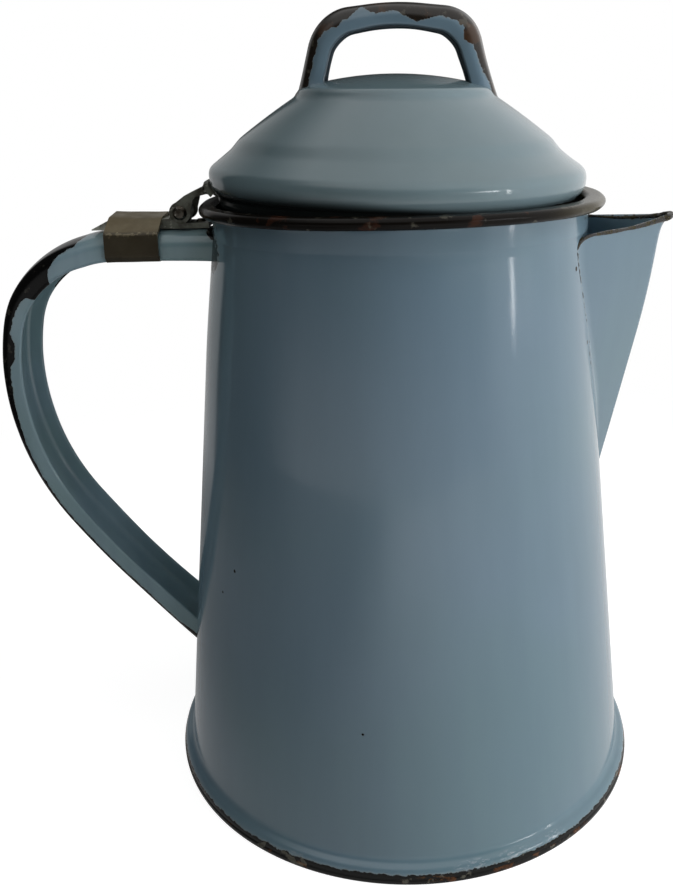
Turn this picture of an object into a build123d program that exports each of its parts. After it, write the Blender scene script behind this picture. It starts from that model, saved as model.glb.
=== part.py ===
from build123d import *
import os
from math import asin, atan, atan2, cos, degrees, hypot, radians, sin, sqrt

# Enamelled sheet-steel coffee pot with a hinged lid, in millimetres.
# The origin is the middle of the foot on the table, +Z is up and the spout points to +X.

# Sheet and wire
sheet = 1.0  # pot and lid steel with its enamel
sleeve_sheet = 0.8
hinge_sheet = 1.1
arm_sheet = 1.2

# Body: a tapered tube with a flared foot and a wired rim
wall_foot_radius = 63.8  # the wall's taper carried down to the table
wall_rim_radius = 46.0
foot_flare = 2.2  # how far the foot stands out past the wall's taper
rim_height = 156.6  # middle of the rolled rim
rim_ring_radius = 47.85  # from the pot's axis to the middle of the rim wire
rim_half_width = 2.35  # the roll is pressed flat, wider than it is high
rim_half_height = 1.35
rim_sheet = 0.8
rim_turn_height = 7.0  # where the wall starts to lean out into the rim
foot_lip_height = 1.5
flare_bulge_radius = 3.0
flare_cove_radius = 5.0
floor_height = 4.0
pan_rim_width = 3.6  # width of the pan's foot ring

# Spout: a folded open lip that tapers down to a point on the wall
spout_edge_drop = 8.0  # from the middle of the rim down to the spout's level edge
spout_knee_drop = 14.6  # from the edge down to where the V stops widening
spout_apex_drop = 53.0  # from there down to the point
spout_trim = 3.4  # the sheet runs on above its edge before it is cut
spout_knee_half_width = 23.0
spout_top_half_width = 25.0
spout_knee_reach = 17.0  # how far the fold stands out from the wall
spout_top_reach = 22.6
spout_nose_radius = 3.6
spout_tip_rise = 1.8
spout_corner_drop = 6.0
spout_lip_height = 1.8
spout_lip_proud = 0.6
spout_point_share = 0.06  # the lowest section, as a share of the rise to the knee
spout_inner_point_share = 0.2
spout_point_wall_share = 0.4  # the sheet thins towards the point
spout_least_nose_share = 0.25  # the fold stays this round on its inside
spout_wall_overlap = 3.0  # the sides run on into the wall before it trims them
spout_edge_bend_radius = 24.0

# Strainer: rows of holes through the wall behind the spout
strainer_rows = 6
strainer_pitch = 7.2
strainer_row_pitch = 7.6
strainer_hole_radius = 1.5
strainer_start = 15.0  # first hole above the spout's point

# Handle: a channel strap, open towards the pot
handle_half_width = 8.5
handle_depth = 6.8
handle_crown_drop = 1.8
handle_corner_radius = 3.2
handle_crown_radius = 24.0
handle_rim_drop = 6.0  # from the middle of the rim down to the crown
handle_bend_x = -73.2
handle_bend_radius = 31.6
handle_bend_angle = 75.7
handle_back_radius = 69.0
handle_back_angle = 50.0
handle_tail_radius = 341.0
handle_tail_angle = 14.0

# Band round the handle that holds the hinge strap
sleeve_start_x = -59.2
sleeve_length = 13.6
sleeve_shoulder_half_width = 4.8
sleeve_corner_radius = 2.0

# Hinge
pin_x = -54.0
pin_above_handle = 3.8
pin_radius = 1.0
pin_head_radius = 1.8
pin_head_height = 0.7
pin_clearance = 0.05
hinge_side_clearance = 0.3
hinge_half_width = 3.5
hinge_tail_reach = 4.6  # the strap's end slopes down onto the handle past the band
hinge_wall_gap = 0.6
hinge_curl_reach = 1.2  # from the barrel's side to where the strap bends up into it
eye_radius = 2.7
arm_rim_clearance = 0.5
arm_web_lift = 4.2
arm_knee_offset = 1.5
arm_eye_high_angle = 140.0  # where the cheek's edges leave the eye
arm_eye_low_angle = -42.0
arm_notch_angles = (90.0, 120.0, 150.0, 180.0)  # corners of the cheek's notch round the rim
arm_web_low_angle = -46.0  # angles round the lid's bulge, up from its level
arm_web_high_angle = -14.0
arm_foot_low_angle = -48.0
arm_foot_high_angle = -4.0
arm_foot_half_width = 9.2
arm_rivet_angle = -24.0
arm_rivet_offset = 7.0  # each side of the middle
base_rivet_setback = 3.2  # from the wall to the rivet's middle
rivet_radius = 0.8
rivet_head_radius = 1.4
rivet_head_height = 0.6
rivet_head_taper = 40.0
rivet_seat = 0.1  # heads sink this far into what they hold

# Lid: a grooved dome with a raised cap, hung 1.5 degrees high at the hinge
lid_tilt = 1.5
lid_seat_clearance = 0.3
lid_flange_clearance = 1.1
lid_flange_length = 3.0
lid_root_radius = 1.5
lid_root_angle = 51.0
lid_bulge_radius = 3.6
lid_skirt_height = 0.8  # upright stretch at the bulge's widest
lid_bulge_angle = 103.0
lid_brow_length = 5.1
lid_groove_radius = 8.0
lid_groove_angle = 11.0
lid_riser_length = 1.7
lid_edge_radius = 8.0
lid_edge_angle = 12.0
lid_dome_radius = 190.0
lid_dome_angle = 4.5
lid_cove_radius = 4.0
lid_cove_angle = 30.0
lid_shoulder_radius = 2.4
lid_shoulder_angle = 47.0
collar_sheet = 0.8
collar_length = 8.5
collar_curl = 1.4

# Lid knob: a small channel strap bent into an arch
knob_half_width = 7.0
knob_depth = 5.2
knob_crown_drop = 1.6
knob_corner_radius = 2.6
knob_crown_radius = 18.0
knob_half_base = 26.2
knob_half_top = 18.7
knob_rise = 15.8  # from the cap's top to the arch's top
knob_arch = 2.2
knob_bend_radius = 11.2
knob_arch_radius = 60.0
knob_root = 10.0  # how far the legs run down before the lid trims them

# Derived sizes
spout_edge_height = rim_height - spout_edge_drop
spout_knee_height = spout_edge_height - spout_knee_drop
spout_apex_height = spout_knee_height - spout_apex_drop
spout_top_height = spout_edge_height + spout_trim
handle_top = rim_height - handle_rim_drop
taper = (wall_foot_radius - wall_rim_radius) / rim_height
wall_lean = degrees(atan(taper))
wall_slant = sheet / cos(radians(wall_lean))
foot_radius = wall_foot_radius + foot_flare
pan_flange_radius = foot_radius - pan_rim_width
rim_inner_radius = rim_ring_radius - rim_half_width
rim_edge_offset = rim_half_width - rim_half_height  # to the middle of each rounded edge
wire_width = 2 * (rim_half_width - rim_sheet)
wire_height = 2 * (rim_half_height - rim_sheet)
bead_neck = rim_height - rim_turn_height
pin_z = handle_top + pin_above_handle
barrel_radius = pin_radius + hinge_sheet
cheek_inner = hinge_half_width + hinge_side_clearance
cheek_outer = cheek_inner + arm_sheet
reach = 2 * foot_radius  # longer than anything it cuts


def wall_radius(height):
    return wall_foot_radius - taper * height


def flare_arcs(inset):
    # The two arcs of the foot's flare, drawn inwards from the skirt's face by the inset.
    centre_x = foot_radius - flare_bulge_radius
    offset = (centre_x - wall_radius(foot_lip_height)) * cos(radians(wall_lean))
    both = flare_bulge_radius + flare_cove_radius
    turn = wall_lean + 90 - degrees(asin((flare_cove_radius - offset) / both))
    start = (foot_radius - inset, foot_lip_height)
    bulge = JernArc(start, (0, 1), flare_bulge_radius - inset, turn)
    cove = JernArc(bulge @ 1, bulge % 1, flare_cove_radius + inset, wall_lean - turn)
    return bulge, cove


def body_envelope():
    # Everything inside the wall's outer face, and under the pot, as a cutter for what is welded
    # to the wall.
    with BuildPart() as envelope:
        with BuildSketch(Plane.XZ):
            with BuildLine():
                Polyline(
                    (0, -reach),
                    (wall_radius(0), -reach),
                    (wall_radius(0), 0),
                    (wall_radius(bead_neck), bead_neck),
                    (rim_inner_radius + sheet, rim_height),
                    (0, rim_height),
                    close=True,
                )
            make_face()
        revolve(axis=Axis.Z)
    return envelope.part


def strap_face(half, top, drop, bottom, corner, crown, mode=Mode.ADD):
    # A crowned top on two upright sides, closed along the bottom. The crown's rounding touches top.
    peak = top + crown * (1 / cos(atan(drop / half)) - 1)
    with BuildLine(mode=Mode.PRIVATE) as outline:
        FilletPolyline(
            (-half, bottom),
            (-half, peak - drop),
            (0, peak),
            (half, peak - drop),
            (half, bottom),
            radius=[corner, crown, corner],
        )
        Line((half, bottom), (-half, bottom))
    make_face(outline.edges(), mode=mode)


def handle_outline(mode=Mode.ADD):
    strap_face(
        handle_half_width, 0, handle_crown_drop, -handle_depth,
        handle_corner_radius, handle_crown_radius, mode,
    )


def knob_outline(mode=Mode.ADD):
    strap_face(
        knob_half_width, 0, knob_crown_drop, -knob_depth,
        knob_corner_radius, knob_crown_radius, mode,
    )


# Body shell: wall, flared foot and the sheet rolled round the rim wire, with the strainer holes
with BuildPart() as body_shell:
    with BuildSketch(Plane.XZ):
        with BuildLine():
            outer_bulge, outer_cove = flare_arcs(0)
            outer_wall = Line(outer_cove @ 1, (wall_radius(bead_neck), bead_neck))
            outer_turn = Line(outer_wall @ 1, (rim_inner_radius + sheet, rim_height))
            top = Line(outer_turn @ 1, (rim_inner_radius, rim_height))
            inner_turn = Line(top @ 1, (wall_radius(bead_neck) - wall_slant, bead_neck))
            inner_bulge, inner_cove = flare_arcs(sheet)
            Line(inner_turn @ 1, inner_cove @ 1)
            Line(inner_bulge @ 0, outer_bulge @ 0)
        make_face()
        with Locations((rim_ring_radius, rim_height)):
            SlotOverall(2 * rim_half_width, 2 * rim_half_height)
            SlotOverall(wire_width, wire_height, mode=Mode.SUBTRACT)
    revolve(axis=Axis.Z)
    for row in range(strainer_rows):
        row_height = spout_apex_height + strainer_start + row * strainer_row_pitch
        with BuildSketch(Plane.YZ):
            with Locations((0, row_height)):
                with GridLocations(strainer_pitch, strainer_pitch, row + 1, 1):
                    Circle(strainer_hole_radius)
        extrude(amount=reach, mode=Mode.SUBTRACT)
body_shell.part.label = "body_shell"

# Rim wire: the flattened steel ring inside the rolled rim
with BuildPart() as rim_wire:
    with BuildSketch(Plane.XZ):
        with Locations((rim_ring_radius, rim_height)):
            SlotOverall(wire_width, wire_height)
    revolve(axis=Axis.Z)
rim_wire.part.label = "rim_wire"

# Base pan: the floor, seated inside the flare, with its rim turned out under the skirt's edge
with BuildPart() as base_pan:
    with BuildSketch(Plane.XZ):
        with BuildLine():
            pan_bulge, pan_cove = flare_arcs(sheet)
            Polyline(pan_bulge @ 0, (foot_radius, foot_lip_height), (foot_radius, 0), (0, 0),
                     (0, (pan_cove @ 1).Y), pan_cove @ 1)
        make_face()
        with Locations((0, floor_height)):
            Rectangle(reach, reach, align=(Align.MIN, Align.MIN), mode=Mode.SUBTRACT)
        Rectangle(
            pan_flange_radius, floor_height - sheet, align=(Align.MIN, Align.MIN), mode=Mode.SUBTRACT,
        )
    revolve(axis=Axis.Z)
base_pan.part.label = "base_pan"


def spout_outline(height, half_width, stand_out, nose_radius, inset):
    # A rounded V on a level plane. Its sides meet the wall at the half width, and the fold stands
    # out from the wall. The inset moves the sides inwards along their normals.
    radius = wall_radius(height)
    seam_x = sqrt(radius**2 - half_width**2)
    nose_centre = radius + stand_out - nose_radius
    span = hypot(nose_centre - seam_x, half_width)
    angle = atan2(half_width, nose_centre - seam_x) - asin(nose_radius / span)
    corner_x = nose_centre + (nose_radius - inset) / sin(angle)
    length = half_width / sin(angle) + spout_wall_overlap
    side = (corner_x - length * cos(angle), length * sin(angle))
    rounding = max(nose_radius - inset, nose_radius * spout_least_nose_share)
    with BuildSketch(Plane.XY.offset(height)) as section:
        with BuildLine():
            FilletPolyline(side, (corner_x, 0), (side[0], -side[1]), radius=rounding)
            Line((side[0], -side[1]), side)
        make_face()
    return section.sketch


def spout_solid(inset):
    # The V sections from near the spout's point, through its knee, to above the cut edge.
    knee_rise = spout_knee_height - spout_apex_height
    knee_nose = spout_nose_radius * knee_rise / (spout_top_height - spout_apex_height)
    low = spout_point_share if inset <= 0 else spout_inner_point_share
    low_inset = inset if inset <= 0 else inset * spout_point_wall_share
    sections = [
        spout_outline(
            spout_apex_height + low * knee_rise, low * spout_knee_half_width,
            low * spout_knee_reach, low * knee_nose, low_inset,
        ),
        spout_outline(
            spout_knee_height, spout_knee_half_width, spout_knee_reach, knee_nose, inset,
        ),
        spout_outline(
            spout_top_height, spout_top_half_width, spout_top_reach, spout_nose_radius, inset,
        ),
    ]
    with BuildPart() as solid:
        loft(sections, ruled=True)
    return solid.part


def spout_edge(drop):
    # The cut edge seen from the side: rounded down to the wall, level, then up to the tip.
    start = (spout_root_x, spout_edge_height - spout_corner_drop - drop)
    bend = (spout_root_x + spout_corner_drop / 2, spout_edge_height - drop)
    level = (wall_rim_radius + spout_corner_drop, spout_edge_height - drop)
    tip = (spout_tip_x + spout_corner_drop, spout_edge_height + spout_tip_rise - drop)
    return FilletPolyline(start, bend, level, tip, radius=[spout_corner_drop / 2, spout_edge_bend_radius])


# Spout shell: the folded open lip with a thickened edge, welded to the wall
spout_tip_x = wall_radius(spout_edge_height) + spout_top_reach
spout_root_x = sqrt(wall_rim_radius**2 - spout_top_half_width**2)
with BuildPart() as spout_lip:
    add(spout_solid(-spout_lip_proud))
    add(spout_solid(sheet), mode=Mode.SUBTRACT)
    with BuildSketch(Plane.XZ):
        with BuildLine():
            high = spout_edge(0)
            low = spout_edge(spout_lip_height)
            Line(high @ 0, low @ 0)
            Line(high @ 1, low @ 1)
        make_face()
    extrude(amount=reach, both=True, mode=Mode.INTERSECT)
with BuildPart() as spout_shell:
    add(spout_solid(0))
    add(spout_solid(sheet), mode=Mode.SUBTRACT)
    with BuildSketch(Plane.XZ):
        with BuildLine():
            edge = spout_edge(0)
            Polyline(edge @ 0, (0, (edge @ 0).Y), (0, 2 * spout_top_height),
                     ((edge @ 1).X, 2 * spout_top_height), edge @ 1)
        make_face()
    extrude(amount=reach, both=True, mode=Mode.SUBTRACT)
    add(spout_lip.part)
    add(body_envelope(), mode=Mode.SUBTRACT)
spout_shell.part.label = "spout_shell"


def rivet_solid(seat, grip):
    # A shank through the grip, with a head out of the seat plane and a tail behind.
    with BuildPart() as rivet:
        with BuildSketch(seat.offset(-grip)):
            Circle(rivet_radius)
        extrude(amount=grip)
        with BuildSketch(seat.offset(-rivet_seat)):
            Circle(rivet_head_radius)
        extrude(amount=rivet_head_height + rivet_seat, taper=rivet_head_taper)
        with BuildSketch(seat.offset(rivet_seat - grip)):
            Circle(rivet_head_radius)
        extrude(amount=-rivet_head_height - rivet_seat, taper=rivet_head_taper)
    return rivet.part


# Base rivet: holds the hinge strap's short end to the handle
strap_low = handle_top + hinge_sheet
strap_high = strap_low + hinge_sheet
rivet_x = -wall_radius(strap_low) - base_rivet_setback
with BuildPart() as base_rivet:
    add(rivet_solid(Plane.XY.move(Location((rivet_x, 0, strap_low))), hinge_sheet + sheet))
base_rivet.part.label = "base_rivet"

# Handle strap: a crowned channel bent from the rim round to the lower wall
with BuildPart() as handle_strap:
    with BuildLine(Plane.XZ) as handle_path:
        run = Line((-wall_rim_radius + handle_depth, handle_top), (handle_bend_x, handle_top))
        bend = JernArc(run @ 1, (-1, 0), handle_bend_radius, handle_bend_angle)
        back = JernArc(bend @ 1, bend % 1, handle_back_radius, handle_back_angle)
        JernArc(back @ 1, back % 1, handle_tail_radius, handle_tail_angle)
    with BuildSketch(Plane(origin=handle_path.line @ 0, x_dir=(0, -1, 0), z_dir=(-1, 0, 0))):
        handle_outline()
        strap_face(
            handle_half_width - sheet, -sheet, handle_crown_drop, -handle_depth - sheet,
            handle_corner_radius - sheet, handle_crown_radius - sheet, Mode.SUBTRACT,
        )
    sweep(path=handle_path.line)
    add(body_envelope(), mode=Mode.SUBTRACT)
    add(base_rivet.part, mode=Mode.SUBTRACT)
handle_strap.part.label = "handle_strap"

# Sleeve band: thin sheet wrapped round the handle and over the tail of the hinge strap
sleeve_inner_top = strap_high
sleeve_shoulder = handle_top - handle_crown_drop
with BuildPart() as sleeve_band:
    with BuildSketch(Plane.YZ.offset(sleeve_start_x)):
        for step, mode in ((sleeve_sheet, Mode.ADD), (0, Mode.SUBTRACT)):
            half = handle_half_width + step
            floor = handle_top - handle_depth - step
            with BuildLine(mode=Mode.PRIVATE) as band:
                FilletPolyline(
                    (-half, floor),
                    (-half, sleeve_shoulder + step / 2),
                    (-sleeve_shoulder_half_width - step / 2, sleeve_inner_top + step),
                    (sleeve_shoulder_half_width + step / 2, sleeve_inner_top + step),
                    (half, sleeve_shoulder + step / 2),
                    (half, floor),
                    radius=[sleeve_corner_radius + step] * 4,
                )
                Line((half, floor), (-half, floor))
            make_face(band.edges(), mode=mode)
    extrude(amount=-sleeve_length)
sleeve_band.part.label = "sleeve_band"

# Hinge strap: folded round the pin, both leaves held by the band, the lower one riveted down
pin_at = Vector(pin_x, pin_z)
sleeve_end_x = sleeve_start_x - sleeve_length
strap_end_x = sleeve_end_x - hinge_tail_reach
strap_wall_x = -wall_radius(strap_low) - hinge_wall_gap
curl_x = pin_x - barrel_radius - hinge_curl_reach
with BuildPart() as hinge_strap:
    with BuildSketch(Plane.XZ):
        with BuildLine():
            Polyline(
                (strap_end_x, handle_top),
                (strap_end_x, handle_top - handle_crown_drop),
                (strap_wall_x, handle_top - handle_crown_drop),
                (strap_wall_x, strap_low),
                (pin_x + barrel_radius / 2, strap_low),
                (pin_x + barrel_radius, pin_z),
                (pin_x - barrel_radius, pin_z),
                (curl_x, strap_high),
                (sleeve_end_x, strap_high),
                close=True,
            )
        make_face()
        with Locations(pin_at):
            Circle(barrel_radius)
            Circle(pin_radius, mode=Mode.SUBTRACT)
    extrude(amount=hinge_half_width, both=True)
    with BuildSketch(Plane(origin=(strap_end_x, 0, handle_top), x_dir=(0, 1, 0), z_dir=(1, 0, 0))):
        handle_outline()
    extrude(amount=strap_wall_x - strap_end_x, mode=Mode.SUBTRACT)
    add(base_rivet.part, mode=Mode.SUBTRACT)
hinge_strap.part.label = "hinge_strap"

# Hinge pin: held by the strap's barrel, with a peened head outside each cheek of the lid's arm
pin_half_length = cheek_outer + hinge_side_clearance / 2
with BuildPart() as hinge_pin:
    with BuildSketch(Plane.XZ):
        with Locations(pin_at):
            Circle(pin_radius)
    extrude(amount=pin_half_length, both=True)
    for side in (-1, 1):
        with BuildSketch(Plane.XZ.offset(side * pin_half_length)):
            with Locations(pin_at):
                Circle(pin_head_radius)
        extrude(amount=side * pin_head_height, taper=rivet_head_taper)
hinge_pin.part.label = "hinge_pin"

# The lid leans a little, high at the hinge. Its level zero is where its bulge is widest, set so
# that the bulge just clears the rolled rim at the spout.
lean_cos = cos(radians(lid_tilt))
lean_sin = sin(radians(lid_tilt))
flange_radius = rim_inner_radius - lid_flange_clearance
root_out = (lid_root_radius + lid_bulge_radius) * (1 - cos(radians(lid_root_angle)))
root_drop = (lid_root_radius + lid_bulge_radius) * sin(radians(lid_root_angle))
bulge_middle = flange_radius + root_out - lid_bulge_radius
seat_reach = lid_bulge_radius + rim_half_height + lid_seat_clearance
seat_across = rim_ring_radius - rim_edge_offset - bulge_middle * lean_cos
seat_rise = sqrt(seat_reach**2 - seat_across**2)
lid_z = rim_height + seat_rise + bulge_middle * lean_sin
lid_across = Vector(lean_cos, 0, -lean_sin)
lid_up = Vector(lean_sin, 0, lean_cos)
lid_side = Plane(origin=(0, 0, lid_z), x_dir=lid_across, z_dir=(0, -1, 0))
lid_axis = Axis((0, 0, lid_z), lid_up)


def lid_arcs(inset):
    # The lid's profile from the flange's foot in to the axis, on its own side plane.
    foot = Vector(flange_radius - inset, -root_drop - lid_flange_length)
    flange = Line(foot, foot + Vector(0, lid_flange_length))
    root = JernArc(flange @ 1, (0, 1), lid_root_radius + inset, -lid_root_angle)
    under = JernArc(root @ 1, root % 1, lid_bulge_radius - inset, lid_root_angle)
    skirt = Line(under @ 1, under @ 1 + Vector(0, lid_skirt_height))
    over_angle = lid_bulge_angle - lid_root_angle
    over = JernArc(skirt @ 1, (0, 1), lid_bulge_radius - inset, over_angle)
    brow = PolarLine(over @ 1, lid_brow_length, direction=over % 1)
    groove = JernArc(brow @ 1, brow % 1, lid_groove_radius + inset, -lid_groove_angle)
    riser = PolarLine(groove @ 1, lid_riser_length, direction=groove % 1)
    edge = JernArc(riser @ 1, riser % 1, lid_edge_radius - inset, lid_edge_angle)
    dome = JernArc(edge @ 1, edge % 1, lid_dome_radius - inset, lid_dome_angle)
    cove = JernArc(dome @ 1, dome % 1, lid_cove_radius + inset, -lid_cove_angle)
    shoulder = JernArc(cove @ 1, cove % 1, lid_shoulder_radius - inset, lid_shoulder_angle)
    return flange, root, under, skirt, over, brow, groove, riser, edge, dome, cove, shoulder


def cap_arc(start, heading):
    # The cap's dome, from its shoulder to the axis, level there.
    slope = 90 + lid_root_angle - lid_bulge_angle + lid_groove_angle - lid_edge_angle
    slope += lid_cove_angle - lid_dome_angle - lid_shoulder_angle
    return JernArc(start, heading, start.X / sin(radians(slope)), slope)


def lid_envelope():
    # Everything under the lid's outer face, as a cutter for what stands on it.
    with BuildPart() as envelope:
        with BuildSketch(lid_side):
            with BuildLine():
                arcs = lid_arcs(0)
                cap = cap_arc(arcs[-1] @ 1, arcs[-1] % 1)
                Polyline(cap @ 1, (0, (arcs[0] @ 0).Y), arcs[0] @ 0)
            make_face()
        revolve(axis=lid_axis)
    return envelope.part


def lid_rear(angle, lift):
    # A point off the lid's bulge at the hinge, at an angle up from its level, from the side.
    radius = lid_bulge_radius + lift
    across = -bulge_middle - radius * cos(radians(angle))
    return lid_side.from_local_coords(Vector(across, radius * sin(radians(angle))))


# Arm rivets: a pair through the arm's foot and the lid
seat_middle = lid_rear(arm_rivet_angle, arm_sheet)
seat_normal = (seat_middle - lid_rear(arm_rivet_angle, 0)).normalized()
rivet_seat_plane = Plane(origin=seat_middle, x_dir=(0, 1, 0), z_dir=seat_normal)
rivet_swing = degrees(asin(arm_rivet_offset / abs(seat_middle.X)))
with BuildPart() as arm_rivets:
    for side in (-1, 1):
        rivet = rivet_solid(rivet_seat_plane, arm_sheet + sheet)
        add(rivet.rotate(lid_axis, side * rivet_swing))
arm_rivets.part.label = "arm_rivets"

# Lid shell: bulge, groove, dome and raised cap in one sheet, with a short flange into the mouth
with BuildPart() as lid_shell:
    with BuildSketch(lid_side):
        with BuildLine():
            outer = lid_arcs(0)
            outer_cap = cap_arc(outer[-1] @ 1, outer[-1] % 1)
            inner = lid_arcs(sheet)
            inner_cap = cap_arc(inner[-1] @ 1, inner[-1] % 1)
            Line(outer[0] @ 0, inner[0] @ 0)
            Line(outer_cap @ 1, inner_cap @ 1)
        make_face()
    revolve(axis=lid_axis)
    add(arm_rivets.part, mode=Mode.SUBTRACT)
lid_shell.part.label = "lid_shell"
cap_height = (outer_cap @ 1).Y

# Lid collar: a ring inside the flange that steadies the lid in the mouth, curled in at its foot
collar_radius = flange_radius - sheet
collar_foot = -root_drop - collar_length
with BuildPart() as lid_collar:
    with BuildSketch(lid_side):
        with BuildLine():
            outside = Line((collar_radius, -root_drop), (collar_radius, collar_foot + collar_curl))
            curl = JernArc(outside @ 1, (0, -1), collar_curl, -90)
            inner_x = collar_radius - collar_sheet
            inside = Line((inner_x, -root_drop), (inner_x, collar_foot + collar_curl))
            inner_curl = JernArc(inside @ 1, (0, -1), collar_curl - collar_sheet, -90)
            Line(outside @ 0, inside @ 0)
            Line(curl @ 1, inner_curl @ 1)
        make_face()
    revolve(axis=lid_axis)
lid_collar.part.label = "lid_collar"

# Lid knob: the arched strap on the cap
knob_top = cap_height + knob_rise
with BuildPart() as lid_knob:
    with BuildLine(lid_side) as knob_path:
        FilletPolyline(
            (-knob_half_base, cap_height - knob_root),
            (-knob_half_top, knob_top - knob_arch),
            (0, knob_top),
            (knob_half_top, knob_top - knob_arch),
            (knob_half_base, cap_height - knob_root),
            radius=[knob_bend_radius, knob_arch_radius, knob_bend_radius],
        )
    start_direction = knob_path.line % 0
    with BuildSketch(Plane(origin=knob_path.line @ 0, x_dir=(0, 1, 0), z_dir=start_direction)):
        knob_outline()
        strap_face(
            knob_half_width - sheet, -sheet, knob_crown_drop, -knob_depth - sheet,
            knob_corner_radius - sheet, knob_crown_radius - sheet, Mode.SUBTRACT,
        )
    sweep(path=knob_path.line)
    add(lid_envelope(), mode=Mode.SUBTRACT)
lid_knob.part.label = "lid_knob"

# Hinge arm: a foot on the lid's bulge, a web, and two cheeks that end in eyes round the pin
rim_at = Vector(-rim_ring_radius - rim_edge_offset, rim_height)
rim_clear = rim_half_height + arm_rim_clearance


def around(middle, radius, angle):
    return middle + Vector(cos(radians(angle)), sin(radians(angle))) * radius


def flat(point):
    return Vector(point.X, point.Z)


web_knee = pin_at + Vector(arm_knee_offset, arm_web_lift)
web_high = flat(lid_rear(arm_web_high_angle, arm_sheet / 2))
web_low = flat(lid_rear(arm_web_low_angle, arm_sheet / 2))
web_run = (web_high - web_knee).normalized()
web_under = Vector(web_run.Y, -web_run.X) * arm_sheet
with BuildPart() as hinge_arm:
    with BuildSketch(lid_side):
        with BuildLine():
            bulge_at = (-bulge_middle, 0)
            start_angle = 180 - arm_foot_high_angle
            span = arm_foot_high_angle - arm_foot_low_angle
            near = CenterArc(bulge_at, lid_bulge_radius, start_angle, span)
            far = CenterArc(bulge_at, lid_bulge_radius + arm_sheet, start_angle, span)
            Line(near @ 0, far @ 0)
            Line(near @ 1, far @ 1)
        make_face()
    revolve(axis=lid_axis)
    with BuildSketch(Plane.YZ):
        with Locations((0, lid_z)):
            Rectangle(2 * arm_foot_half_width, 2 * reach)
    extrude(amount=-reach, mode=Mode.INTERSECT)
    for width, mode in ((cheek_outer, Mode.ADD), (cheek_inner, Mode.SUBTRACT)):
        with BuildSketch(Plane.XZ):
            with BuildLine():
                notch = [around(rim_at, rim_clear, angle) for angle in arm_notch_angles]
                Polyline(
                    around(pin_at, eye_radius, arm_eye_high_angle),
                    web_knee,
                    web_high,
                    web_low,
                    *notch,
                    around(pin_at, eye_radius, arm_eye_low_angle),
                    close=True,
                )
            make_face()
            with Locations(pin_at):
                Circle(eye_radius)
        extrude(amount=width, both=True, mode=mode)
    with BuildSketch(Plane.XZ):
        with BuildLine():
            Polyline(web_knee, web_high, web_high + web_under, web_knee + web_under, close=True)
        make_face()
    extrude(amount=cheek_inner, both=True)
    with BuildSketch(Plane.XZ):
        with Locations(pin_at):
            Circle(pin_radius + pin_clearance)
    extrude(amount=reach, both=True, mode=Mode.SUBTRACT)
    add(arm_rivets.part, mode=Mode.SUBTRACT)
hinge_arm.part.label = "hinge_arm"

os.makedirs("parts", exist_ok=True)
for piece in (
    body_shell, rim_wire, base_pan, spout_shell, handle_strap, sleeve_band, hinge_strap, hinge_pin,
    base_rivet, lid_shell, lid_collar, lid_knob, hinge_arm, arm_rivets,
):
    export_step(piece.part, f"parts/{piece.part.label}.step")
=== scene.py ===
import math

import bpy
import bmesh
import numpy as np
from mathutils import Matrix, Vector


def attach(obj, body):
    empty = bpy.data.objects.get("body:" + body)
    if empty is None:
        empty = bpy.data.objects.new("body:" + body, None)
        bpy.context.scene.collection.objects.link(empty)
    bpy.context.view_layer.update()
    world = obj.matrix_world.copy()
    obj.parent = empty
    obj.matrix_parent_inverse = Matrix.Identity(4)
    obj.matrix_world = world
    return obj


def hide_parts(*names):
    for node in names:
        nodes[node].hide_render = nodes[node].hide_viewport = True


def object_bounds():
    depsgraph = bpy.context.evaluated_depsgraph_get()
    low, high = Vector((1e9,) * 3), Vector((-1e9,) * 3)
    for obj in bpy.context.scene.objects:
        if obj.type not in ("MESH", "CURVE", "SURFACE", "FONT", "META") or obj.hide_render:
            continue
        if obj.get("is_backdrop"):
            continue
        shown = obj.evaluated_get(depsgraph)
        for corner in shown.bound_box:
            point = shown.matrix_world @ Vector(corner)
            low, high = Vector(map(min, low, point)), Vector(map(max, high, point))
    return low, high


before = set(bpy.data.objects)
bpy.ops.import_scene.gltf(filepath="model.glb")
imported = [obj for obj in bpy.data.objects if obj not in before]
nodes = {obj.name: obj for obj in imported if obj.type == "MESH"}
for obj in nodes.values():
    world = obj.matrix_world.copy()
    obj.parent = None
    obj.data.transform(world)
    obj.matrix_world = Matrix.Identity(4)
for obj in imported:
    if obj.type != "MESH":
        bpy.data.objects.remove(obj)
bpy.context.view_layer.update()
scene = bpy.context.scene
mm = 0.001


# Shapes: profiles, paths and the surfaces carried along them, in millimetres until the mesh is made

def xyz(x, y, z):
    # Three arrays that broadcast together, as one array of points.
    return np.stack(np.broadcast_arrays(x, y, z), -1)


def walk(start, heading, moves, spacing):
    # Points along straight runs (length,) and arcs (radius, turn in degrees, left is positive) that
    # leave one another without a kink: centre + radius * (sin a, -cos a) on each arc, which has a
    # point at least every 7 degrees.
    at, angle, runs = np.array(start, float), math.radians(heading), [np.array([start], float)]
    for move in moves:
        if len(move) == 1:
            t = np.linspace(0, move[0], max(1, math.ceil(move[0] / spacing)) + 1)[1:, None]
            run = at + t * np.array([math.cos(angle), math.sin(angle)])
        else:
            radius, turn = move[0] * math.copysign(1, move[1]), math.radians(move[1])
            count = max(3, math.ceil(abs(radius * turn) / spacing), math.ceil(abs(move[1]) / 7))
            centre = at + radius * np.array([-math.sin(angle), math.cos(angle)])
            a = angle + np.linspace(0, turn, count + 1)[1:, None]
            run = centre + radius * np.hstack([np.sin(a), -np.cos(a)])
            angle += turn
        at = run[-1]
        runs.append(run)
    return np.concatenate(runs), math.degrees(angle)


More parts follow.
